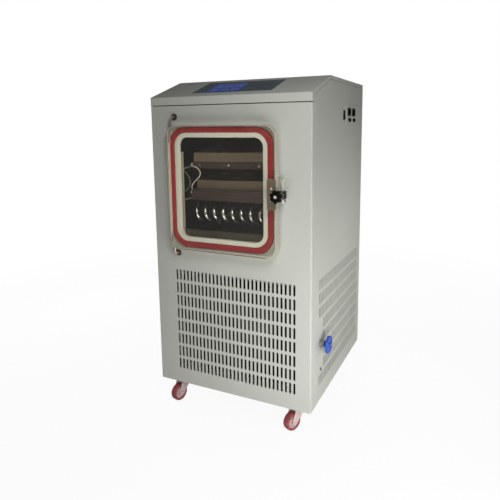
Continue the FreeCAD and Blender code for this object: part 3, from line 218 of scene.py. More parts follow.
def arc(centre, radius, first, last, steps=6):
    # (across, along) points of an arc, angles in degrees
    angles = [math.radians(first + (last - first) * k / steps) for k in range(steps + 1)]
    return [(centre[0] + radius * math.cos(a), centre[1] + radius * math.sin(a)) for a in angles]


def tube(work, path, radius, sides):
    # round section carried along a path without twisting
    rings = []
    side = (path[1] - path[0]).orthogonal()
    for k, point in enumerate(path):
        ahead = (path[min(k + 1, len(path) - 1)] - path[max(k - 1, 0)]).normalized()
        side = (side - ahead * side.dot(ahead)).normalized()
        up = ahead.cross(side)
        angles = [2 * math.pi * n / sides for n in range(sides)]
        rings.append([point + (side * math.cos(a) + up * math.sin(a)) * radius for a in angles])
    skin(work, rings)


def bends(points, radius, steps):
    # a run of points with every inner corner rounded
    path = [points[0]]
    for before, corner, after in zip(points, points[1:], points[2:]):
        back = (before - corner).normalized()
        onward = (after - corner).normalized()
        half = back.angle(onward) / 2
        reach = radius / math.tan(half)
        centre = corner + (back + onward).normalized() * (radius / math.sin(half))
        start = (corner + back * reach - centre).normalized()
        end = (corner + onward * reach - centre).normalized()
        path += [centre + start.slerp(end, k / steps) * radius for k in range(steps + 1)]
    path.append(points[-1])
    return path


def roundedOutline(width, height, radius, steps=10):
    # (across, up) points of a rounded rectangle about its middle
    points = []
    for signX, signZ, turn in ((1, 1, 0), (-1, 1, 90), (-1, -1, 180), (1, -1, 270)):
        centre = (signX * (width / 2 - radius), signZ * (height / 2 - radius))
        points += arc(centre, radius, turn, turn + 90, steps)
    return points


def frontRing(work, middle, size, profile):
    # a section of (outward, y) points carried round a rounded rectangle seen from the front
    width, height, radius = size
    rings = []
    for outward, y in profile:
        outline = roundedOutline(width + 2 * outward, height + 2 * outward, radius + outward)
        rings.append([Vector((middle.x + x, y, middle.z + z)) for x, z in outline])
    skin(work, rings, True)


def piercedSheet(work, outline, holes, thickness):
    # flat sheet filled between its outline and its holes, then thickened
    edges = []
    for loop in [outline] + holes:
        verts = [work.verts.new(point) for point in loop]
        edges += [work.edges.new(pair) for pair in zip(verts, verts[1:] + verts[:1])]
    filled = bmesh.ops.triangle_fill(work, use_beauty=True, use_dissolve=False, edges=edges)
    faces = [item for item in filled["geom"] if isinstance(item, bmesh.types.BMFace)]
    grown = bmesh.ops.extrude_face_region(work, geom=faces)
    moved = [item for item in grown["geom"] if isinstance(item, bmesh.types.BMVert)]
    bmesh.ops.translate(work, verts=moved, vec=thickness)


def soften(work, width, segments, sharp):
    # bevels the edges that turn by more than the given angle
    bmesh.ops.remove_doubles(work, verts=work.verts, dist=0.000001)
    edges = [e for e in work.edges if len(e.link_faces) == 2 and e.calc_face_angle() > math.radians(sharp)]
    bmesh.ops.bevel(work, geom=edges, offset=width, segments=segments, profile=0.5, affect="EDGES",
                    material=-1, clamp_overlap=True)


def piece(name, work, surface, body, nodes=(), sharp=32):
    # a finished mesh that rides a body and, if nodes are given, shows in their place
    bmesh.ops.remove_doubles(work, verts=work.verts, dist=0.000001)
    bmesh.ops.recalc_face_normals(work, faces=work.faces)
    mesh = bpy.data.meshes.new(name)
    work.to_mesh(mesh)
    work.free()
    mesh.materials.append(surface)
    mesh.shade_smooth()
    mesh.set_sharp_from_angle(angle=math.radians(sharp))
    made = bpy.data.objects.new(name, mesh)
    bpy.context.scene.collection.objects.link(made)
    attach(made, body)
    if nodes:
        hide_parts(*nodes)
    return made


def finishNode(node, surface, edge=0.0):
    # the CAD's own shape with a finish and, if wanted, softened edges
    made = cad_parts[node]
    for slot in range(len(made.data.materials)):
        made.data.materials[slot] = surface
    if not made.data.materials:
        made.data.materials.append(surface)
    if edge:
        weld = made.modifiers.new("weld", "WELD")
        weld.merge_threshold = 0.000005
        bevel = made.modifiers.new("edges", "BEVEL")
        bevel.width = edge
        bevel.segments = 2
        bevel.limit_method = "ANGLE"
        bevel.angle_limit = math.radians(30)
        bevel.harden_normals = False


def middleOf(node):
    low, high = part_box(node)
    return (low + high) / 2


print("finishes")
paint = {
    "gapShadowHalf": 0.0016,     # half the height of the painted shadow in the gap under the top cover
    "gapShadowDepth": 0.004,     # how far back from the front it reaches
}


def paintFinish(values):
    # powder paint, with a painted shadow in the gap between the front panel and the top cover
    s = Surface("cabinetPaint")
    wander = s.noise(2.0, 3.0)
    fine = s.noise(1400.0, 2.0)
    depth, height = s.parts()[1:]
    # painted shadow: the paint is darkened in a thin band where the front panel meets the top cover
    gapShadow = (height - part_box("top_cover")[0].z).size().below(values["gapShadowHalf"])
    gapShadow = gapShadow * depth.below(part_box("front_panel")[0].y + values["gapShadowDepth"])
    tone = s.mix((wander * 0.7 + fine * 0.3).ramp(0.3, 0.7), colour(192, 195, 188), colour(199, 202, 196))
    s.use(BaseColor=s.mix(gapShadow, tone, colour(84, 76, 68)), Roughness=fine * 0.16 + 0.34,
          Normal=s.bump(fine, 0.6, 0.00004))
    return s.material


cabinetPaint = paintFinish(paint)
zincSteel = mottled("zincSteel", (188, 186, 184), (150, 148, 147), metallic=0.9, roughness=0.36,
                    stretch=(1, 1, 0.2))
brightSteel = mottled("brightSteel", (214, 211, 206), (186, 182, 176), metallic=1.0, roughness=0.2,
                      spread=0.05, grainDepth=0.00001)
rodSteel = mottled("rodSteel", (216, 206, 192), (166, 157, 144), metallic=0.7, roughness=0.3, spread=0.05,
                   grainDepth=0.00001)
forkSteel = mottled("forkSteel", (240, 216, 213), (208, 186, 184), metallic=0.35, roughness=0.34)
raceSteel = mottled("raceSteel", (92, 86, 82), (60, 56, 53), metallic=0.8, roughness=0.4)
stainless = mottled("stainless", (130, 110, 100), (94, 78, 70), metallic=0.9, roughness=0.34,
                    stretch=(0.08, 1, 1), grain=500.0)
trayMetal = mottled("trayMetal", (186, 168, 143), (166, 148, 125), metallic=0.85, roughness=0.3,
                    stretch=(0.06, 1, 1), grain=600.0, spread=0.04, grainDepth=0.000008)
lipSteel = mottled("lipSteel", (252, 255, 248), (242, 245, 236), metallic=0.0, roughness=0.36)
sealRubber = mottled("sealRubber", (184, 46, 52), (152, 34, 42), roughness=0.48, grain=900.0)
darkPlastic = mottled("darkPlastic", (26, 26, 25), (13, 13, 12), mirror=0.12, roughness=0.42,
                      grain=1100.0)
whiteSilicone = mottled("whiteSilicone", (236, 232, 224), (214, 208, 198), roughness=0.42)
greySilicone = mottled("greySilicone", (150, 146, 142), (118, 114, 112), roughness=0.46)
valveMetal = mottled("valveMetal", (186, 184, 176), (146, 142, 134), metallic=0.9, roughness=0.3)
handwheelBlue = mottled("handwheelBlue", (38, 86, 196), (24, 62, 160), roughness=0.36, coat=0.4)
radiatorDark = mottled("radiatorDark", (34, 34, 36), (20, 20, 22), metallic=0.4, roughness=0.55,
                       grain=300.0)
compressorBlack = mottled("compressorBlack", (22, 22, 24), (12, 12, 13), roughness=0.4, coat=0.3)
copperPipe = mottled("copperPipe", (196, 118, 82), (150, 84, 58), metallic=1.0, roughness=0.3)
dripMetal = mottled("dripMetal", (128, 117, 102), (92, 84, 72), metallic=0.85, roughness=0.34)
latchSteel = mottled("latchSteel", (240, 238, 232), (216, 213, 206), metallic=0.35, roughness=0.28,
                     spread=0.05, grainDepth=0.00001)
washerSteel = mottled("washerSteel", (150, 140, 126), (104, 95, 84), metallic=0.9, roughness=0.36)
rackSteel = mottled("rackSteel", (206, 196, 176), (168, 158, 140), metallic=0.4, roughness=0.36)
chamberDark = mottled("chamberDark", (20, 18, 11), (9, 8, 4), mirror=0.15, metallic=0.3, roughness=0.36,
                      stretch=(1, 1, 0.1))


def paleFloor():
    # pale floor that fades into the white beyond it
    s = Surface("paleFloor")
    x, y = s.parts()[:2]
    distance = (x * x + y * y).root()
    fine = s.noise(60.0, 2.0)
    pale = s.mix(fine.ramp(0.3, 0.7), colour(216, 216, 214), colour(208, 208, 206))
    s.use(BaseColor=pale, Roughness=0.8, Alpha=1 - distance.ramp(0.8, 2.6),
          Normal=s.bump(fine, 0.2, 0.0001))
    s.blend(s.seen() * 0.94, s.make("ShaderNodeEmission", {"Color": colour(255, 255, 255)}))
    return s.material


floorFinish = paleFloor()


def clearAcrylic():
    # clear with a faint warm tint and faint wipe marks in the gloss; its shadow is almost clear too
    s = Surface("clearAcrylic")
    wipe = s.noise(9.0, 2.0, (1, 1, 3))
    s.use(BaseColor=s.mix(wipe.ramp(0.3, 0.7), colour(255, 252, 247), colour(255, 254, 250)),
          Roughness=wipe * 0.04 + 0.005)
    s.shader.inputs["Transmission Weight"].default_value = 0.99
    s.shader.inputs["IOR"].default_value = 1.42
    s.shader.inputs["Specular IOR Level"].default_value = 0.1
    # shadow and diffuse rays pass straight on, so that what lies behind the sheet is lit
    passing = s.rays("Is Shadow Ray").most(s.rays("Is Diffuse Ray"))
    s.blend(passing, s.make("ShaderNodeBsdfTransparent", {"Color": colour(240, 239, 234)}))
    return s.material


clearSheet = clearAcrylic()


def sawnFinish():
    # dull edge of the clear sheet, milky with a greenish cast
    s = Surface("sawnEdge")
    marks = s.noise(420.0, 2.0, (1, 3, 1))
    s.use(BaseColor=s.mix(marks.ramp(0.3, 0.7), colour(196, 192, 176), colour(214, 210, 194)),
          Roughness=marks * 0.16 + 0.36, Normal=s.bump(marks, 0.4, 0.00004))
    s.shader.inputs["Transmission Weight"].default_value = 0.3
    s.shader.inputs["IOR"].default_value = 1.42
    return s.material


sawnEdge = sawnFinish()

# the cabinet's front face, underside and middle, which the places in millimetres are measured from
panelLow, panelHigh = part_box("front_panel")
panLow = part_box("base_pan")[0]
cabinetLow = Vector((panelLow.x, panelLow.y, panLow.z))
cabinetMiddle = (panelLow.x + panelHigh.x) / 2


def at(x, y, z):
    # a point of the cabinet, measured from its middle, its front face and its underside, in millimetres
    return Vector((cabinetMiddle + x / 1000, cabinetLow.y + y / 1000, cabinetLow.z + z / 1000))


print("front panel")
grille = {
    "slotWidth": 0.0076,
    "slotHeight": 0.0386,
    "cornerShare": 0.4,
    "pitchAcross": 0.015185,
    "pitchUp": 0.0488,
    "firstUp": 0.0756,
    "rows": 8,
}
front = {
    "slotColumns": 31,
    "firstSlotX": -0.2136,
    "sheet": 0.0015,
    "fold": 0.003,
    "rodHole": 0.0043,
    "washerRadius": 0.012,
    "mouthGap": 0.002,       # from the seal to the sheet round it
    "mouthRadius": 0.0663,
}


def slotOutlines(values, columns, place, skip=lambda column, row: False):
    # rounded slots in rows and columns, each placed by its own (across, up)
    outlines = []
    width = values["slotWidth"]
    shape = roundedOutline(width, values["slotHeight"], width * values["cornerShare"], 3)
    for column in range(columns):
        for row in range(values["rows"]):
            if not skip(column, row):
                across = column * values["pitchAcross"]
                up = values["firstUp"] + row * values["pitchUp"]
                outlines.append([place(across + x, up + z) for x, z in shape])
    return outlines


def makeFrontPanel(values):
    # slotted sheet with rounded folds at both sides and a flange along its top
    low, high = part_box("front_panel")
    sheet = values["sheet"]
    fold = values["fold"]
    left = low.x + 2 * fold
    right = high.x - 2 * fold
    corners = ((left, low.z), (right, low.z), (right, high.z), (left, high.z))
    firstX = cabinetMiddle + values["firstSlotX"]
    holes = slotOutlines(grille, values["slotColumns"],
                         lambda x, z: Vector((firstX + x, low.y, cabinetLow.z + z)))
    gasketLow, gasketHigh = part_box("door_gasket")
    middle = (gasketLow + gasketHigh) / 2
    size = gasketHigh - gasketLow
    gap = 2 * values["mouthGap"]
    opening = roundedOutline(size.x + gap, size.z + gap, values["mouthRadius"], 12)
    holes.append([Vector((middle.x + x, low.y, middle.z + z)) for x, z in opening])
    washerLow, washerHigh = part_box("rod_fixings")
    keeperLow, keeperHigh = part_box("keeper_rod")
    keeperX = middleOf("keeper_rod").x
    reach = (keeperHigh.x - keeperLow.x) / 2
    feet = [(middleOf("hinge_rod_upper").x, washerHigh.z - values["washerRadius"]),
            (middleOf("hinge_rod_lower").x, washerLow.z + values["washerRadius"]),
            (keeperX, keeperHigh.z - reach), (keeperX, keeperLow.z + reach)]
    ring = arc((0, 0), values["rodHole"], 0, 330, 11)
    for x, z in feet:
        holes.append([Vector((x + across, low.y, z + up)) for across, up in ring])
    work = bmesh.new()
    piercedSheet(work, [Vector((x, low.y, z)) for x, z in corners], holes, Vector((0, sheet, 0)))
    turns = [math.radians(15 * k) for k in range(7)]
    for edge, inward in ((low.x, 1), (high.x, -1)):
        near = fold - sheet
        outer = [(edge + inward * fold * (1 - math.sin(a)), low.y + fold * (1 - math.cos(a)))
                 for a in turns]
        inner = [(edge + inward * (fold - near * math.sin(a)), low.y + fold - near * math.cos(a))
                 for a in reversed(turns)]
        end = edge + inward * 2 * fold
        section = [(end, low.y)] + outer + [(edge, high.y), (edge + inward * sheet, high.y)] + inner
        section.append((end, low.y + sheet))
        skin(work, [[Vector((x, y, z)) for x, y in section] for z in (low.z, high.z)])
    block(work, Vector((left, low.y + sheet, high.z - sheet)), Vector((right, high.y, high.z)))
    return piece("frontPanel", work, cabinetPaint, "cabinet", ["front_panel"])


makeFrontPanel(front)

print("side panel")
side = {
    "slotColumns": 33,
    "firstSlotY": 0.084,
    "sheet": 0.0015,
    "slopeRise": 0.065,
    "slopeRun": 0.183,
    "bareColumns": 3,
    "bareRows": (1, 2, 3, 4),
    # in mm from the front and the underside: middle and half sizes, or middle and radius
    "openings": ((345, 983, 8.8, 15.3), (409, 995.5, 17.3, 11.3), (472, 995.5, 17.3, 11.3)),
    "bores": ((97, 208, 11.3), (97, 113, 6.3), (409, 966, 6.3), (472, 966, 6.3)),
}


def makeSidePanel(values):
    # slotted sheet with a sloped front corner and openings for the valve, the sockets and the switch
    low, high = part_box("side_panel_right")
    x = high.x - values["sheet"]
    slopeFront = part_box("top_cover")[0].y
    run = values["slopeRun"]
    bottom = high.z - values["slopeRise"] * (run - (low.y - slopeFront)) / run
    corners = ((low.y, low.z), (high.y, low.z), (high.y, high.z), (slopeFront + run, high.z),
               (low.y, bottom))
    firstY = cabinetLow.y + values["firstSlotY"]
    holes = slotOutlines(grille, values["slotColumns"],
                         lambda y, z: Vector((x, firstY + y, cabinetLow.z + z)),
                         lambda column, row: column < values["bareColumns"] and row in values["bareRows"])
    cuts = [(y, z, [(-wide, -tall), (wide, -tall), (wide, tall), (-wide, tall)])
            for y, z, wide, tall in values["openings"]]
    cuts += [(y, z, arc((0, 0), radius, 0, 337.5, 15)) for y, z, radius in values["bores"]]
    for y, z, shape in cuts:
        points = [at(0, y + across, z + up) for across, up in shape]
        holes.append([Vector((x, point.y, point.z)) for point in points])
    work = bmesh.new()
    piercedSheet(work, [Vector((x, y, z)) for y, z in corners], holes, Vector((values["sheet"], 0, 0)))
    return piece("sidePanelRight", work, cabinetPaint, "cabinet", ["side_panel_right"])


makeSidePanel(side)

print("mouth")
mouth = {
    "lipRounding": 0.002,
    "gasketRounding": 0.0045,
    "cornerRadius": 0.030,
    "lipWidth": 0.016,
    "gasketWidth": 0.020,
    "gasketGap": 0.0003,
    "flangeThickness": 0.010,
}


def makeLip(values):
    # the flat ring behind the panel and the lip with a rolled front edge
    low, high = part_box("chamber_flange")
    gasketLow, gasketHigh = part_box("door_gasket")
    middle = (gasketLow + gasketHigh) / 2
    lipWidth = values["lipWidth"]
    around = 2 * (values["gasketWidth"] + values["gasketGap"] + lipWidth)
    mouthWidth = gasketHigh.x - gasketLow.x - around
    mouthHeight = gasketHigh.z - gasketLow.z - around
    back = high.y
    shoulder = back - values["flangeThickness"]
    flange = (high.x - low.x - mouthWidth) / 2
    rounding = values["lipRounding"]
    nose = arc((lipWidth - rounding, low.y + rounding), rounding, 0, -90, 5)
    inner = arc((rounding, low.y + rounding), rounding, -90, -180, 5)
    profile = [(0, back), (flange, back), (flange, shoulder), (lipWidth, shoulder)] + nose + inner
    work = bmesh.new()
    frontRing(work, middle, (mouthWidth, mouthHeight, values["cornerRadius"]), profile)
    return piece("chamberLip", work, lipSteel, "cabinet", ["chamber_flange"])


def makeGasket(values):
    # rounded rubber ring stretched round the lip
    low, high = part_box("door_gasket")
    middle = (low + high) / 2
    width = values["gasketWidth"]
    corner = values["cornerRadius"] + values["lipWidth"] + values["gasketGap"]
    size = (high.x - low.x - 2 * width, high.z - low.z - 2 * width, corner)
    rounding = values["gasketRounding"]
    outer = arc((width - rounding, low.y + rounding), rounding, 0, -90, 6)
    inner = arc((rounding, low.y + rounding), rounding, -90, -180, 6)
    profile = [(0, high.y), (width, high.y)] + outer + inner
    work = bmesh.new()
    frontRing(work, middle, size, profile)
    return piece("doorSeal", work, sealRubber, "cabinet", ["door_gasket"])


makeLip(mouth)
makeGasket(mouth)

print("door")
doorValues = {
    "bevel": 0.0015,
    "cornerRadius": 0.045,
    "edgeTurn": 0.96,      # faces that look less than this to the front are sawn and dull
}


def makeDoor(values):
    # thick plate with bevelled edges, half round along the hinge side
    low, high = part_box("door")
    middle = (low + high) / 2
    thickness = high.y - low.y
    half = thickness / 2
    radius = values["cornerRadius"]
    bevel = values["bevel"]
    width = high.x - low.x
    height = high.z - low.z
    outline = roundedOutline(width, height, radius, 14)
    frontLevels = [low.y + bevel * k / 3 for k in range(3)]
    flatLevels = [low.y + bevel + (thickness - 2 * bevel) * k / 16 for k in range(17)]
    backLevels = [high.y - bevel * k / 3 for k in (2, 1, 0)]
    rings = []
    for y in frontLevels + flatLevels + backLevels:
        inset = bevel - min(y - low.y, high.y - y, bevel)
        shareX = 1 - 2 * inset / width
        shareZ = 1 - 2 * inset / height
        limit = low.x + half * (1 - math.sqrt(max(0.0, 1 - ((y - middle.y) / half) ** 2)))
        rings.append([Vector((max(middle.x + x * shareX, limit), y, middle.z + z * shareZ))
                      for x, z in outline])
    work = bmesh.new()
    skin(work, rings)
    made = piece("clearDoor", work, clearSheet, "door", ["door"], sharp=40)
    made.data.materials.append(sawnEdge)
    for face in made.data.polygons:
        if abs(face.normal.y) < values["edgeTurn"]:
            face.material_index = 1
    return made


makeDoor(doorValues)

print("coil")
coil = {
    "radius": 0.026,
    "tube": 0.005,
    "pitch": 0.033,
    "turns": 7.5,
    "stepsInTurn": 32,
}


def makeCoil(values):
    # a helix whose two ends run straight to the back
    low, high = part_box("condenser_coil")
    tubeRadius = values["tube"]
    radius = values["radius"]
    centreY = low.y + tubeRadius + radius
    centreZ = (low.z + high.z) / 2
    firstX = low.x + tubeRadius
    path = []
    for k in range(round(values["turns"] * values["stepsInTurn"]) + 1):
        turns = k / values["stepsInTurn"]
        angle = 2 * math.pi * turns
        path.append(Vector((firstX + values["pitch"] * turns, centreY - radius * math.sin(angle),
                            centreZ + radius * math.cos(angle))))
    start = Vector((path[0].x, high.y, path[0].z))
    end = Vector((path[-1].x, high.y, path[-1].z))
    path = [start, (start + path[0]) * 0.5] + path + [(end + path[-1]) * 0.5, end]
    work = bmesh.new()
    tube(work, path, tubeRadius, 16)
    return piece("condenserCoil", work, coilMetal, "cabinet", ["condenser_coil"])


def coilFinish():
    # bright drawn tube, with painted shade darkening it towards the back
    s = Surface("coilMetal")
    y = s.parts()[1]
    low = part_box("condenser_coil")[0]
    # painted shade: the back of the coil is darkened, as if it were out of the light
    shadedBack = y.ramp(low.y + 0.012, low.y + 0.034)
    wander = s.noise(30.0, 3.0)
    bright = s.mix(wander.ramp(0.3, 0.7), colour(206, 204, 200), colour(236, 234, 230))
    s.use(BaseColor=s.mix(shadedBack, bright, colour(52, 49, 46)), Metallic=0.95, Roughness=wander * 0.1 + 0.2)
    return s.material


coilMetal = coilFinish()
makeCoil(coil)

print("rods")
rods = {
    "radius": 0.004,
    "hingeBend": 0.013,
    "keeperBend": 0.009,
    "endBevel": 0.0006,
}


def makeRod(values, name, node, points, bend, surface):
    work = bmesh.new()
    tube(work, bends(points, bend, 10), values["radius"], 24)
    soften(work, values["endBevel"], 1, 60)
    return piece(name, work, surface, "cabinet", [node])


def makeRods(values):
    # two hinge rods with one bend each, and the keeper rod with both feet in the panel
    radius = values["radius"]
    for name, node in (("upperHingeRod", "hinge_rod_upper"), ("lowerHingeRod", "hinge_rod_lower")):
        low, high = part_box(node)
        x = (low.x + high.x) / 2
        front = low.y + radius
        upper = node == "hinge_rod_upper"
        foot = high.z - radius if upper else low.z + radius
        pin = low.z if upper else high.z
        points = [Vector((x, high.y, foot)), Vector((x, front, foot)), Vector((x, front, pin))]
        makeRod(values, name, node, points, values["hingeBend"], rodSteel)
    low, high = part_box("keeper_rod")
    x = (low.x + high.x) / 2
    front = low.y + radius
    points = [Vector((x, high.y, high.z - radius)), Vector((x, front, high.z - radius)),
              Vector((x, front, low.z + radius)), Vector((x, high.y, low.z + radius))]
    makeRod(values, "keeperRod", "keeper_rod", points, values["keeperBend"], latchSteel)


makeRods(rods)

print("latch")
latch = {
    "lobes": 7,
    "firstLobe": 18.0,
    "knobRadius": 0.0215,
    "valley": 0.0042,
    "rim": 0.015,
    "dome": 0.004,
    "hubRadius": 0.011,
    "hubBore": 0.0052,
    "studRadius": 0.005,
    "screwHead": 0.0045,
    "crownHeight": 0.0025,
}
plateFinish = mottled("plateFinish", (148, 134, 112), (116, 103, 84), metallic=0.3, roughness=0.42)


def lobed(radius, valley, height, values, middle):
    # smooth star outline about an axis that points to the front
    points = []
    steps = values["lobes"] * 16
    for k in range(steps):
        turn = 2 * math.pi * k / steps
        phase = (turn - math.radians(values["firstLobe"])) * values["lobes"]
        share = (0.5 - 0.5 * math.cos(phase)) ** 1.6
        reach = radius - valley * share
        points.append(Vector((middle.x - reach * math.cos(turn), height, middle.z + reach * math.sin(turn))))
    return points


def makeKnob(values):
    # lobed head, from its back to the dome in front, on a round hub
    low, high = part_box("latch_knob")
    middle = middleOf("latch_stud")
    face = low.y
    full = values["knobRadius"] * 0.985
    valley = values["valley"]
    rim = values["rim"]
    dome = values["dome"]
    # share of the full size and depth behind the face
    levels = [(0.62, rim), (0.94, rim - 0.0004), (1.0, rim - 0.002), (1.0, dome + 0.001),
              (0.985, dome - 0.0004), (0.93, dome * 0.5), (0.82, dome * 0.2), (0.62, 0.0003), (0.34, 0.0),
              (0.27, 0.0006), (0.26, 0.0012)]
    work = bmesh.new()
    skin(work, [lobed(full * share, valley * share, face + depth, values, middle)
                for share, depth in levels])
    hubLength = high.y - face - dome - 0.004
    hub = [(values["hubBore"], 0.0), (values["hubRadius"], 0.0), (values["hubRadius"], hubLength),
           (values["hubBore"], hubLength)]
    lathe(work, hub, Vector((middle.x, high.y, middle.z)), -alongY, 40, True)
    return piece("starKnob", work, darkPlastic, "latch_knob", ["latch_knob"], sharp=38)


def makeStud(values):
    # round stud with a chamfer at both ends
    low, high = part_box("latch_stud")
    middle = (low + high) / 2
    radius = values["studRadius"] * 0.99
    length = high.y - low.y
    profile = [(0, 0), (radius - 0.001, 0), (radius, 0.001), (radius, length - 0.0006),
               (radius - 0.0006, length), (0, length)]
    work = bmesh.new()
    lathe(work, profile, Vector((middle.x, high.y, middle.z)), -alongY, 40)
    return piece("latchStud", work, latchSteel, "latch_stud", ["latch_stud"])


def panHead(work, tip, axis, length, radius, height):
    # screw head with a rounded crown, on a short shank
    angles = [math.radians(18 * k) for k in range(5)]
    crown = [(radius * math.cos(a), length + height * math.sin(a)) for a in angles] + [(0, length + height)]
    shank = [(0, length * 0.1), (radius * 0.5, length * 0.1), (radius * 0.5, length)]
    lathe(work, shank + crown, tip, axis, 24)


def makeLatchScrews(values):
    low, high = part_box("latch_screws")
    x = (low.x + high.x) / 2
    radius = values["screwHead"] * 0.97
    crown = values["crownHeight"]
    work = bmesh.new()
    for z in (high.z - values["screwHead"], low.z + values["screwHead"]):
        panHead(work, Vector((x, high.y, z)), -alongY, high.y - low.y - crown, radius, crown)
    return piece("latchScrews", work, latchSteel, "door", ["latch_screws"])


makeKnob(latch)
makeStud(latch)
makeLatchScrews(latch)

print("control panel")
panel = {
    "edge": 0.0003,
    "displayGlow": 0.35,
    # fields on the slope: (across, up, width, height) from the middle of the film or the display
    "band": (0.0, 0.051, 0.288, 0.012),
    "firstKey": (0.062, -0.040, 0.021, 0.015),
    "keyPitch": (0.029, 0.026),
    "bezelMargin": 0.005,
    "bezelHeight": 0.106,
    "titleHeight": 0.010,
    "fieldPitch": 0.038,
}


def slopePlace(s):
    # (across, up the slope) of a point on the overlay, in metres from its middle
    low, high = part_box("control_overlay")
    middle = (low + high) / 2
    tilt = math.atan2(high.z - low.z, high.y - low.y)
    x, y, z = s.parts()
    across = x - middle.x
    up = (y - middle.y) * math.cos(tilt) + (z - middle.z) * math.sin(tilt)
    return across, up


def field(across, up, x, y, width, height, soft=0.0006):
    # 1 inside a rectangle that is soft at its edges
    inX = 1 - ((across - x).size() - width / 2).ramp(-soft, soft)
    inY = 1 - ((up - y).size() - height / 2).ramp(-soft, soft)
    return inX * inY


def displayPlace():
    # middle of the display across the overlay, and its width
    low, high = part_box("display_window")
    overlayLow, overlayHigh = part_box("control_overlay")
    return (low.x + high.x - overlayLow.x - overlayHigh.x) / 2, high.x - low.x


def overlayFinish():
    # dark printed film with plain key fields to the right of the display
    s = Surface("controlFilm")
    across, up = slopePlace(s)
    fine = s.noise(900.0, 2.0)
    tone = s.mix(fine.ramp(0.3, 0.7), colour(70, 84, 90), colour(80, 94, 100))
    band = field(across, up, *panel["band"])
    tone = s.mix(band * 0.5, tone, colour(96, 108, 110))
    x, y, *keySize = panel["firstKey"]
    pitchX, pitchY = panel["keyPitch"]
    places = [(x + column * pitchX, y + row * pitchY) for column in range(3) for row in range(3)]
    keys = field(across, up, *places[0], *keySize)
    for place in places[1:]:
        keys = keys.most(field(across, up, *place, *keySize))
    tone = s.mix(keys * 0.55, tone, colour(32, 38, 42))
    middle, width = displayPlace()
    bezel = field(across, up, middle, -0.010, width + 2 * panel["bezelMargin"], panel["bezelHeight"])
    tone = s.mix(bezel * 0.7, tone, colour(30, 34, 38))
    s.use(BaseColor=tone, Roughness=0.34 + fine * 0.1, Normal=s.bump(keys, 0.3, 0.0002))
    return s.material


def displayFinish():
    # lit blue screen with plain pale fields, without writing
    s = Surface("litDisplay")
    across, up = slopePlace(s)
    wander = s.noise(14.0, 2.0)
    blue = s.mix(wander.ramp(0.3, 0.7), colour(14, 42, 122), colour(28, 58, 146))
    middle, width = displayPlace()
    boxes = field(across, up, middle, 0.026, width - 0.014, panel["titleHeight"]) * 0.14
    for column in (-1, 0, 1):
        place = middle + column * panel["fieldPitch"]
        boxes = boxes.most(field(across, up, place, 0.000, 0.030, 0.022) * 0.09)
        boxes = boxes.most(field(across, up, place, -0.034, 0.030, 0.014) * 0.12)
    tone = s.mix(boxes, blue, colour(150, 186, 240))
    s.use(BaseColor=tone, Roughness=0.12 + wander * 0.05, EmissionColor=tone)
    s.shader.inputs["Specular IOR Level"].default_value = 0.2
    s.shader.inputs["Emission Strength"].default_value = panel["displayGlow"]
    return s.material


finishNode("control_overlay", overlayFinish(), panel["edge"])
finishNode("display_window", displayFinish(), panel["edge"])

print("leads")
leads = {
    "radius": 0.0018,
    "shelfLength": 0.139,
    "wallLength": 0.1205,
}
# routes in mm, as at() takes them
shelfLeadRoute = [
    (-146, 34.5, 810.2), (-146, 27.5, 810.2), (-142.5, 21.4, 809.8), (-136.4, 17.9, 808.8),
    (-128.5, 17.7, 806.8), (-119.8, 18.2, 803.3), (-112.5, 19.4, 797.8), (-108.4, 21, 790.3),
    (-107.8, 22.8, 781.9), (-111.3, 24.3, 774.1), (-117.6, 25.4, 767.3), (-125.1, 26.2, 760.9),
    (-132.7, 26.8, 754.3), (-139.8, 27.4, 746.9), (-145.4, 28.6, 738.4), (-146, 32.5, 730),
    (-146, 32.5, 722),
]
wallLeadRoute = [
    (-197, 44, 794), (-190, 44, 793.5), (-183.5, 43.6, 790), (-177.5, 43, 784.5), (-171.5, 42.5, 778),
    (-165.8, 42, 771.5), (-161.2, 41.5, 764), (-158.6, 41.1, 755.5), (-158.2, 41, 746.5),
    (-160.4, 41.2, 738), (-164.8, 41.6, 730.3), (-171, 42.2, 724), (-178.5, 43, 719.3),
    (-188, 43.8, 716.5), (-197, 44, 716),
]


def makeLead(name, node, route, surface):
    # a limp lead along its route, fixed at both ends
    curve = bpy.data.curves.new(name, "CURVE")
    curve.dimensions = "3D"
    curve.bevel_depth = leads["radius"]
    curve.bevel_resolution = 4
    curve.resolution_u = 12
    curve.use_fill_caps = True
    spline = curve.splines.new("NURBS")
    spline.points.add(len(route) - 1)
    points = [at(*point) for point in route]
    for point, place in zip(spline.points, points):
        point.co = (*place, 1)
    spline.order_u = 3
    spline.use_endpoint_u = True
    curve.materials.append(surface)
    made = bpy.data.objects.new(name, curve)
    bpy.context.scene.collection.objects.link(made)
    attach(made, "cabinet")
    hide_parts(node)
    return made


makeLead("shelfLead", "shelf_lead", shelfLeadRoute, whiteSilicone)
makeLead("wallLead", "wall_lead", wallLeadRoute, greySilicone)

print("shelf screws")
shelfScrew = {
    "radius": 0.004,
    "crownHeight": 0.0024,
}


def makeShelfScrews(values):
    low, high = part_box("shelf_screws")
    radius = values["radius"]
    crown = values["crownHeight"]
    z = (low.z + high.z) / 2
    work = bmesh.new()
    for x in (low.x + radius, (low.x + high.x) / 2, high.x - radius):
        panHead(work, Vector((x, high.y, z)), -alongY, high.y - low.y - crown, radius * 0.97, crown)
    return piece("shelfScrews", work, brightSteel, "cabinet", ["shelf_screws"])


makeShelfScrews(shelfScrew)

print("valve")
valve = {
    "scallops": 8,
    "scallopDepth": 0.003,
    "wheelRadius": 0.031,
    "rim": 0.007,
    "thickness": 0.010,
    "web": 0.004,
    "rounding": 0.0022,
    "hubBack": 0.004,        # how far the hub stands out behind the rim
    "hubRadius": 0.009,
    "stemRadius": 0.004,
    "bodyRadius": 0.017,
    "bodyLength": 0.046,
    "neckRadius": 0.011,
    "nutRadius": 0.0138,
    "nutBack": 0.017,        # the nut's two ends, back from the tip
    "nutFront": 0.0095,
    "bonnetRadius": 0.0118,
    "stemBore": 0.0042,
}


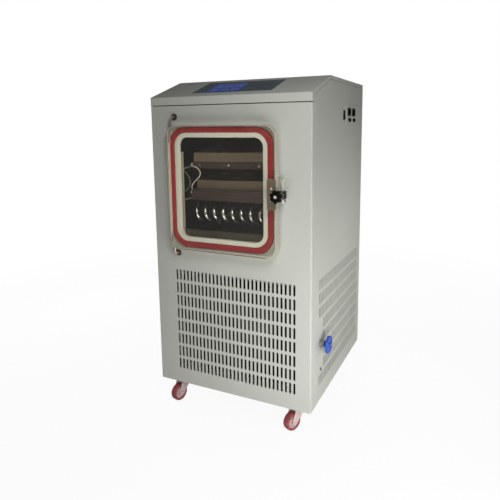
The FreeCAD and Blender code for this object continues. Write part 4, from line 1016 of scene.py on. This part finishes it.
def makeHandwheel(values):
    # scalloped rim with rounded edges, a thin web and a hub
    low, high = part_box("drain_handwheel")
    middle = (low + high) / 2
    radius = values["wheelRadius"] * 0.985
    hubRadius = values["hubRadius"]
    back = low.x + values["hubBack"]
    front = back + values["thickness"]
    webBack = (back + front - values["web"]) / 2
    webFront = webBack + values["web"]
    inner = radius - values["rim"]
    edge = values["rounding"]

    def ringAt(x, reach, scalloped, count=96):
        points = []
        for k in range(count):
            turn = 2 * math.pi * k / count
            wave = (0.5 + 0.5 * math.cos(values["scallops"] * turn + math.pi)) ** 2
            r = reach - values["scallopDepth"] * wave * scalloped
            points.append(Vector((x, middle.y + r * math.cos(turn), middle.z + r * math.sin(turn))))
        return points

    # place along the axis, radius and share of the scallops, once round the section
    levels = [(webFront, hubRadius, 0), (webFront, inner, 0), (front - edge, inner + 0.0004, 0),
              (front - edge * 0.3, inner + 0.0012, 0), (front, inner + 0.0026, 0.3),
              (front, radius - edge, 0.8), (front - edge * 0.3, radius - edge * 0.3, 1),
              (front - edge, radius, 1), (back + edge, radius, 1),
              (back + edge * 0.3, radius - edge * 0.3, 1), (back, radius - edge, 0.8),
              (back, inner + 0.0026, 0.3), (back + edge, inner + 0.0006, 0), (webBack, inner, 0),
              (webBack, hubRadius, 0)]
    work = bmesh.new()
    skin(work, [ringAt(*level) for level in levels], True)
    bore = values["stemRadius"] * 1.03
    length = high.x - low.x
    hub = [(bore, 0), (hubRadius - 0.001, 0), (hubRadius, 0.001), (hubRadius, length - 0.001),
           (hubRadius - 0.001, length), (bore, length)]
    lathe(work, hub, Vector((low.x, middle.y, middle.z)), alongX, 40, True)
    return piece("handwheel", work, handwheelBlue, "drain_handwheel", ["drain_handwheel"], sharp=45)


def makeBonnet(values):
    # the valve's body, its neck with a nut, and the bonnet that the stem comes out of
    low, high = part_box("drain_valve")
    middle = (low + high) / 2
    length = high.x - low.x
    body = values["bodyRadius"]
    bodyLength = values["bodyLength"]
    neck = values["neckRadius"]
    nut = values["nutRadius"]
    nutBack = length - values["nutBack"]
    nutFront = length - values["nutFront"]
    bonnet = values["bonnetRadius"]
    bore = values["stemBore"]
    profile = [(0, 0), (body - 0.001, 0), (body, 0.001), (body, bodyLength - 0.001),
               (body - 0.001, bodyLength), (neck, bodyLength), (neck, nutBack), (nut, nutBack),
               (nut, nutFront), (bonnet, nutFront + 0.0005), (bonnet, length - 0.003),
               (0.0100, length - 0.0006), (0.0090, length), (bore, length), (bore, length - 0.012),
               (0, length - 0.012)]
    work = bmesh.new()
    lathe(work, profile, Vector((low.x, middle.y, middle.z)), alongX, 40)
    return piece("valveBonnet", work, valveMetal, "cabinet", ["drain_valve"])


makeHandwheel(valve)
makeBonnet(valve)
finishNode("drain_valve_stem", brightSteel, 0.0004)

print("connectors")
fuse = {
    "shankRadius": 0.0058,
    "capLength": 0.008,
    "flangeLength": 0.002,
    "slotRadius": 0.0035,
    "slotDepth": 0.0012,
}


def makeFuseCaps(values):
    # two caps, each a flange and a tapered head with a shallow recess
    low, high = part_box("fuse_holders")
    radius = (high.z - low.z) / 2
    length = high.x - low.x
    rim = radius * 0.98
    seat = length - values["capLength"]
    flange = seat + values["flangeLength"]
    floor = length - values["slotDepth"]
    slot = values["slotRadius"]
    shank = values["shankRadius"]
    profile = [(0, 0), (shank, 0), (shank, seat), (rim, seat), (rim, flange),
               (rim - 0.0008, flange + 0.0006), (rim - 0.0012, length - 0.001), (rim - 0.002, length),
               (slot, length), (slot - 0.0005, floor), (0, floor)]
    work = bmesh.new()
    for y in (low.y + radius, high.y - radius):
        lathe(work, profile, Vector((low.x, y, (low.z + high.z) / 2)), alongX, 32)
    return piece("fuseCaps", work, darkPlastic, "cabinet", ["fuse_holders"])


makeFuseCaps(fuse)
finishNode("power_sockets", darkPlastic, 0.0006)
finishNode("main_switch_frame", darkPlastic, 0.0005)
finishNode("main_switch_rocker", darkPlastic, 0.0005)
finishNode("connector_plate", cabinetPaint, 0.0004)

print("casters")
caster = {
    "wheelRadius": 0.0315,
    "wheelWidth": 0.025,
    "hubRadius": 0.0105,
    "axleRadius": 0.0041,
    "dishRadius": 0.0226,
    # how far each fork stands turned, in degrees
    "turns": {"front_left": 13.0, "front_right": 26.0, "rear_left": -18.0, "rear_right": 9.0},
}
wheelPink = mottled("wheelPink", (168, 88, 90), (136, 64, 67), roughness=0.38, broad=30.0)
hubGrey = mottled("hubGrey", (206, 180, 178), (176, 150, 148), roughness=0.4)


def makeWheel(values, name):
    # rounded tread with dished sides and a hub
    node = "caster_wheel_" + name
    middle = middleOf(node)
    turn = math.radians(-values["turns"][name])
    axis = Vector((math.cos(turn), math.sin(turn), 0))
    half = values["wheelWidth"] / 2
    radius = values["wheelRadius"] * 0.99
    dish = values["dishRadius"]
    inside = dish - 0.0001
    tread = [(inside, -half + 0.0015), (radius - 0.0045, -half), (radius - 0.0018, -half + 0.0012),
             (radius - 0.0004, -half + 0.004), (radius, 0), (radius - 0.0004, half - 0.004),
             (radius - 0.0018, half - 0.0012), (radius - 0.0045, half), (inside, half - 0.0015)]
    work = bmesh.new()
    lathe(work, tread, middle, axis, 64, True)
    piece("casterTread_" + name, work, wheelPink, node, [node])
    hubRadius = values["hubRadius"]
    bore = values["axleRadius"]
    hub = [(bore, -half), (hubRadius, -half), (hubRadius + 0.001, -half + 0.003), (dish, -half + 0.0042),
           (dish, half - 0.0042), (hubRadius + 0.001, half - 0.003), (hubRadius, half), (bore, half)]
    work = bmesh.new()
    lathe(work, hub, middle, axis, 48, True)
    piece("casterHub_" + name, work, hubGrey, node)


for casterName in caster["turns"]:
    makeWheel(caster, casterName)
    finishNode("caster_fork_" + casterName, forkSteel, 0.0008)

print("plain pieces")
# finish, edge rounding and the nodes that keep the CAD's own shape
plainFinishes = [
    (cabinetPaint, 0.0012, ["side_panel_left", "back_panel", "top_cover"]),
    (zincSteel, 0.0004, ["base_pan", "cabinet_posts", "chamber_beams"]),
    (raceSteel, 0.0004, ["caster_plates"]),
    (washerSteel, 0.0004, ["rod_fixings"]),
    (darkPlastic, 0.0006, ["controller_housing", "keeper_block"]),
    (plateFinish, 0.0007, ["latch_plate"]),
    (chamberDark, 0.0, ["chamber_shell"]),
    (lipSteel, 0.0, ["vacuum_port"]),
    (stainless, 0.0006, ["upper_shelf", "lower_shelf"]),
    (rackSteel, 0.0004, ["shelf_rack"]),
    (trayMetal, 0.0005, ["upper_tray", "lower_tray"]),
    (dripMetal, 0.0005, ["drip_tray"]),
    (whiteSilicone, 0.0003, ["lead_terminals"]),
    (radiatorDark, 0.0, ["radiator", "fan_shroud", "fan_blades", "fan_motor"]),
    (compressorBlack, 0.0, ["compressor"]),
    (copperPipe, 0.0, ["suction_pipe"]),
    (valveMetal, 0.0, ["drain_pipes"]),
]
for surface, edge, nodes in plainFinishes:
    for node in nodes:
        finishNode(node, surface, edge)

print("stage")
view = {
    "azimuth": 24.553,
    "elevation": 8.605,
    "roll": -0.402,
    "position": (0.769564, -1.668328, 1.029439),
    "lens": 34.4,
    "shiftX": -0.04,
    "shiftY": -0.10,
}
light = {
    "floorReach": 30.0,
    "sky": 0.03,
    "mirroredSky": 0.14,
    "tint": (1.0, 0.99, 0.96),
    # place, what it points at, watts, width, and whether glossy surfaces mirror it
    "lamps": {
        "keyLight": ((0.88, -0.72, 0.34), (0.1, -0.1, 0.3), 5.4, 0.5, True),
        "highLight": ((0.58, -1.09, 1.49), (0.1, -0.1, 0.7), 6.5, 0.4, False),
        "sideLight": ((0.88, 0.21, 0.52), (0.28, 0.1, 0.45), 2.0, 0.5, True),
        "lowLight": ((0.18, -1.09, 0.36), (0.0, -0.29, 0.4), 2.3, 0.4, False),
        "backLight": ((-0.3, 1.7, 0.8), (0.0, 0.3, 0.6), 14, 0.8, False),
        "leftLight": ((-1.6, 0.5, 0.8), (-0.3, 0.1, 0.6), 14, 0.8, False),
    },
}


def makeFloor(values):
    # one large square at the level of the wheels' lowest point
    work = bmesh.new()
    place = Matrix.Translation((0, 0, boundsBefore[0].z))
    bmesh.ops.create_grid(work, x_segments=1, y_segments=1, size=values["floorReach"], matrix=place)
    mesh = bpy.data.meshes.new("floor")
    work.to_mesh(mesh)
    work.free()
    mesh.materials.append(floorFinish)
    ground = bpy.data.objects.new("floor", mesh)
    bpy.context.scene.collection.objects.link(ground)


def makeLight(values, name, place, target, power, size, mirrored):
    lamp = bpy.data.lights.new(name, "AREA")
    lamp.energy = power
    lamp.size = size
    lamp.color = values["tint"]
    holder = bpy.data.objects.new(name, lamp)
    holder.location = place
    holder.visible_camera = False
    holder.visible_glossy = mirrored
    holder.rotation_mode = "QUATERNION"
    holder.rotation_quaternion = (Vector(target) - Vector(place)).to_track_quat("-Z", "Y")
    bpy.context.scene.collection.objects.link(holder)


def makeCamera(values):
    # looks back along the azimuth and elevation, then rolls about that line
    azimuth = math.radians(values["azimuth"])
    elevation = math.radians(values["elevation"])
    roll = math.radians(values["roll"])
    back = Vector((math.sin(azimuth) * math.cos(elevation), -math.cos(azimuth) * math.cos(elevation),
                   math.sin(elevation)))
    right = Vector((math.cos(azimuth), math.sin(azimuth), 0))
    up = back.cross(right)
    across = right * math.cos(roll) + up * math.sin(roll)
    above = up * math.cos(roll) - right * math.sin(roll)
    eye = bpy.data.cameras.new("camera")
    eye.lens = values["lens"]
    eye.sensor_width = 36.0
    eye.shift_x = values["shiftX"]
    eye.shift_y = values["shiftY"]
    eye.clip_end = 200.0
    holder = bpy.data.objects.new("camera", eye)
    turn = Matrix((across, above, back)).transposed()
    holder.matrix_world = Matrix.Translation(Vector(values["position"])) @ turn.to_4x4()
    bpy.context.scene.collection.objects.link(holder)
    bpy.context.scene.camera = holder


def makeSky(values):
    # white to the eye, softer in reflections and faint as light
    sky = Surface("sky", bpy.data.worlds, "Background")
    mirrored = sky.rays("Is Glossy Ray") * values["mirroredSky"]
    strength = mirrored.most(sky.seen()).most(values["sky"])
    bpy.context.scene.world = sky.use(Color=(1, 1, 1, 1), Strength=strength)


makeFloor(light)
for lampName, lampFacts in light["lamps"].items():
    makeLight(light, lampName, *lampFacts)
makeCamera(view)
makeSky(light)
bpy.context.scene.view_settings.view_transform = "Standard"
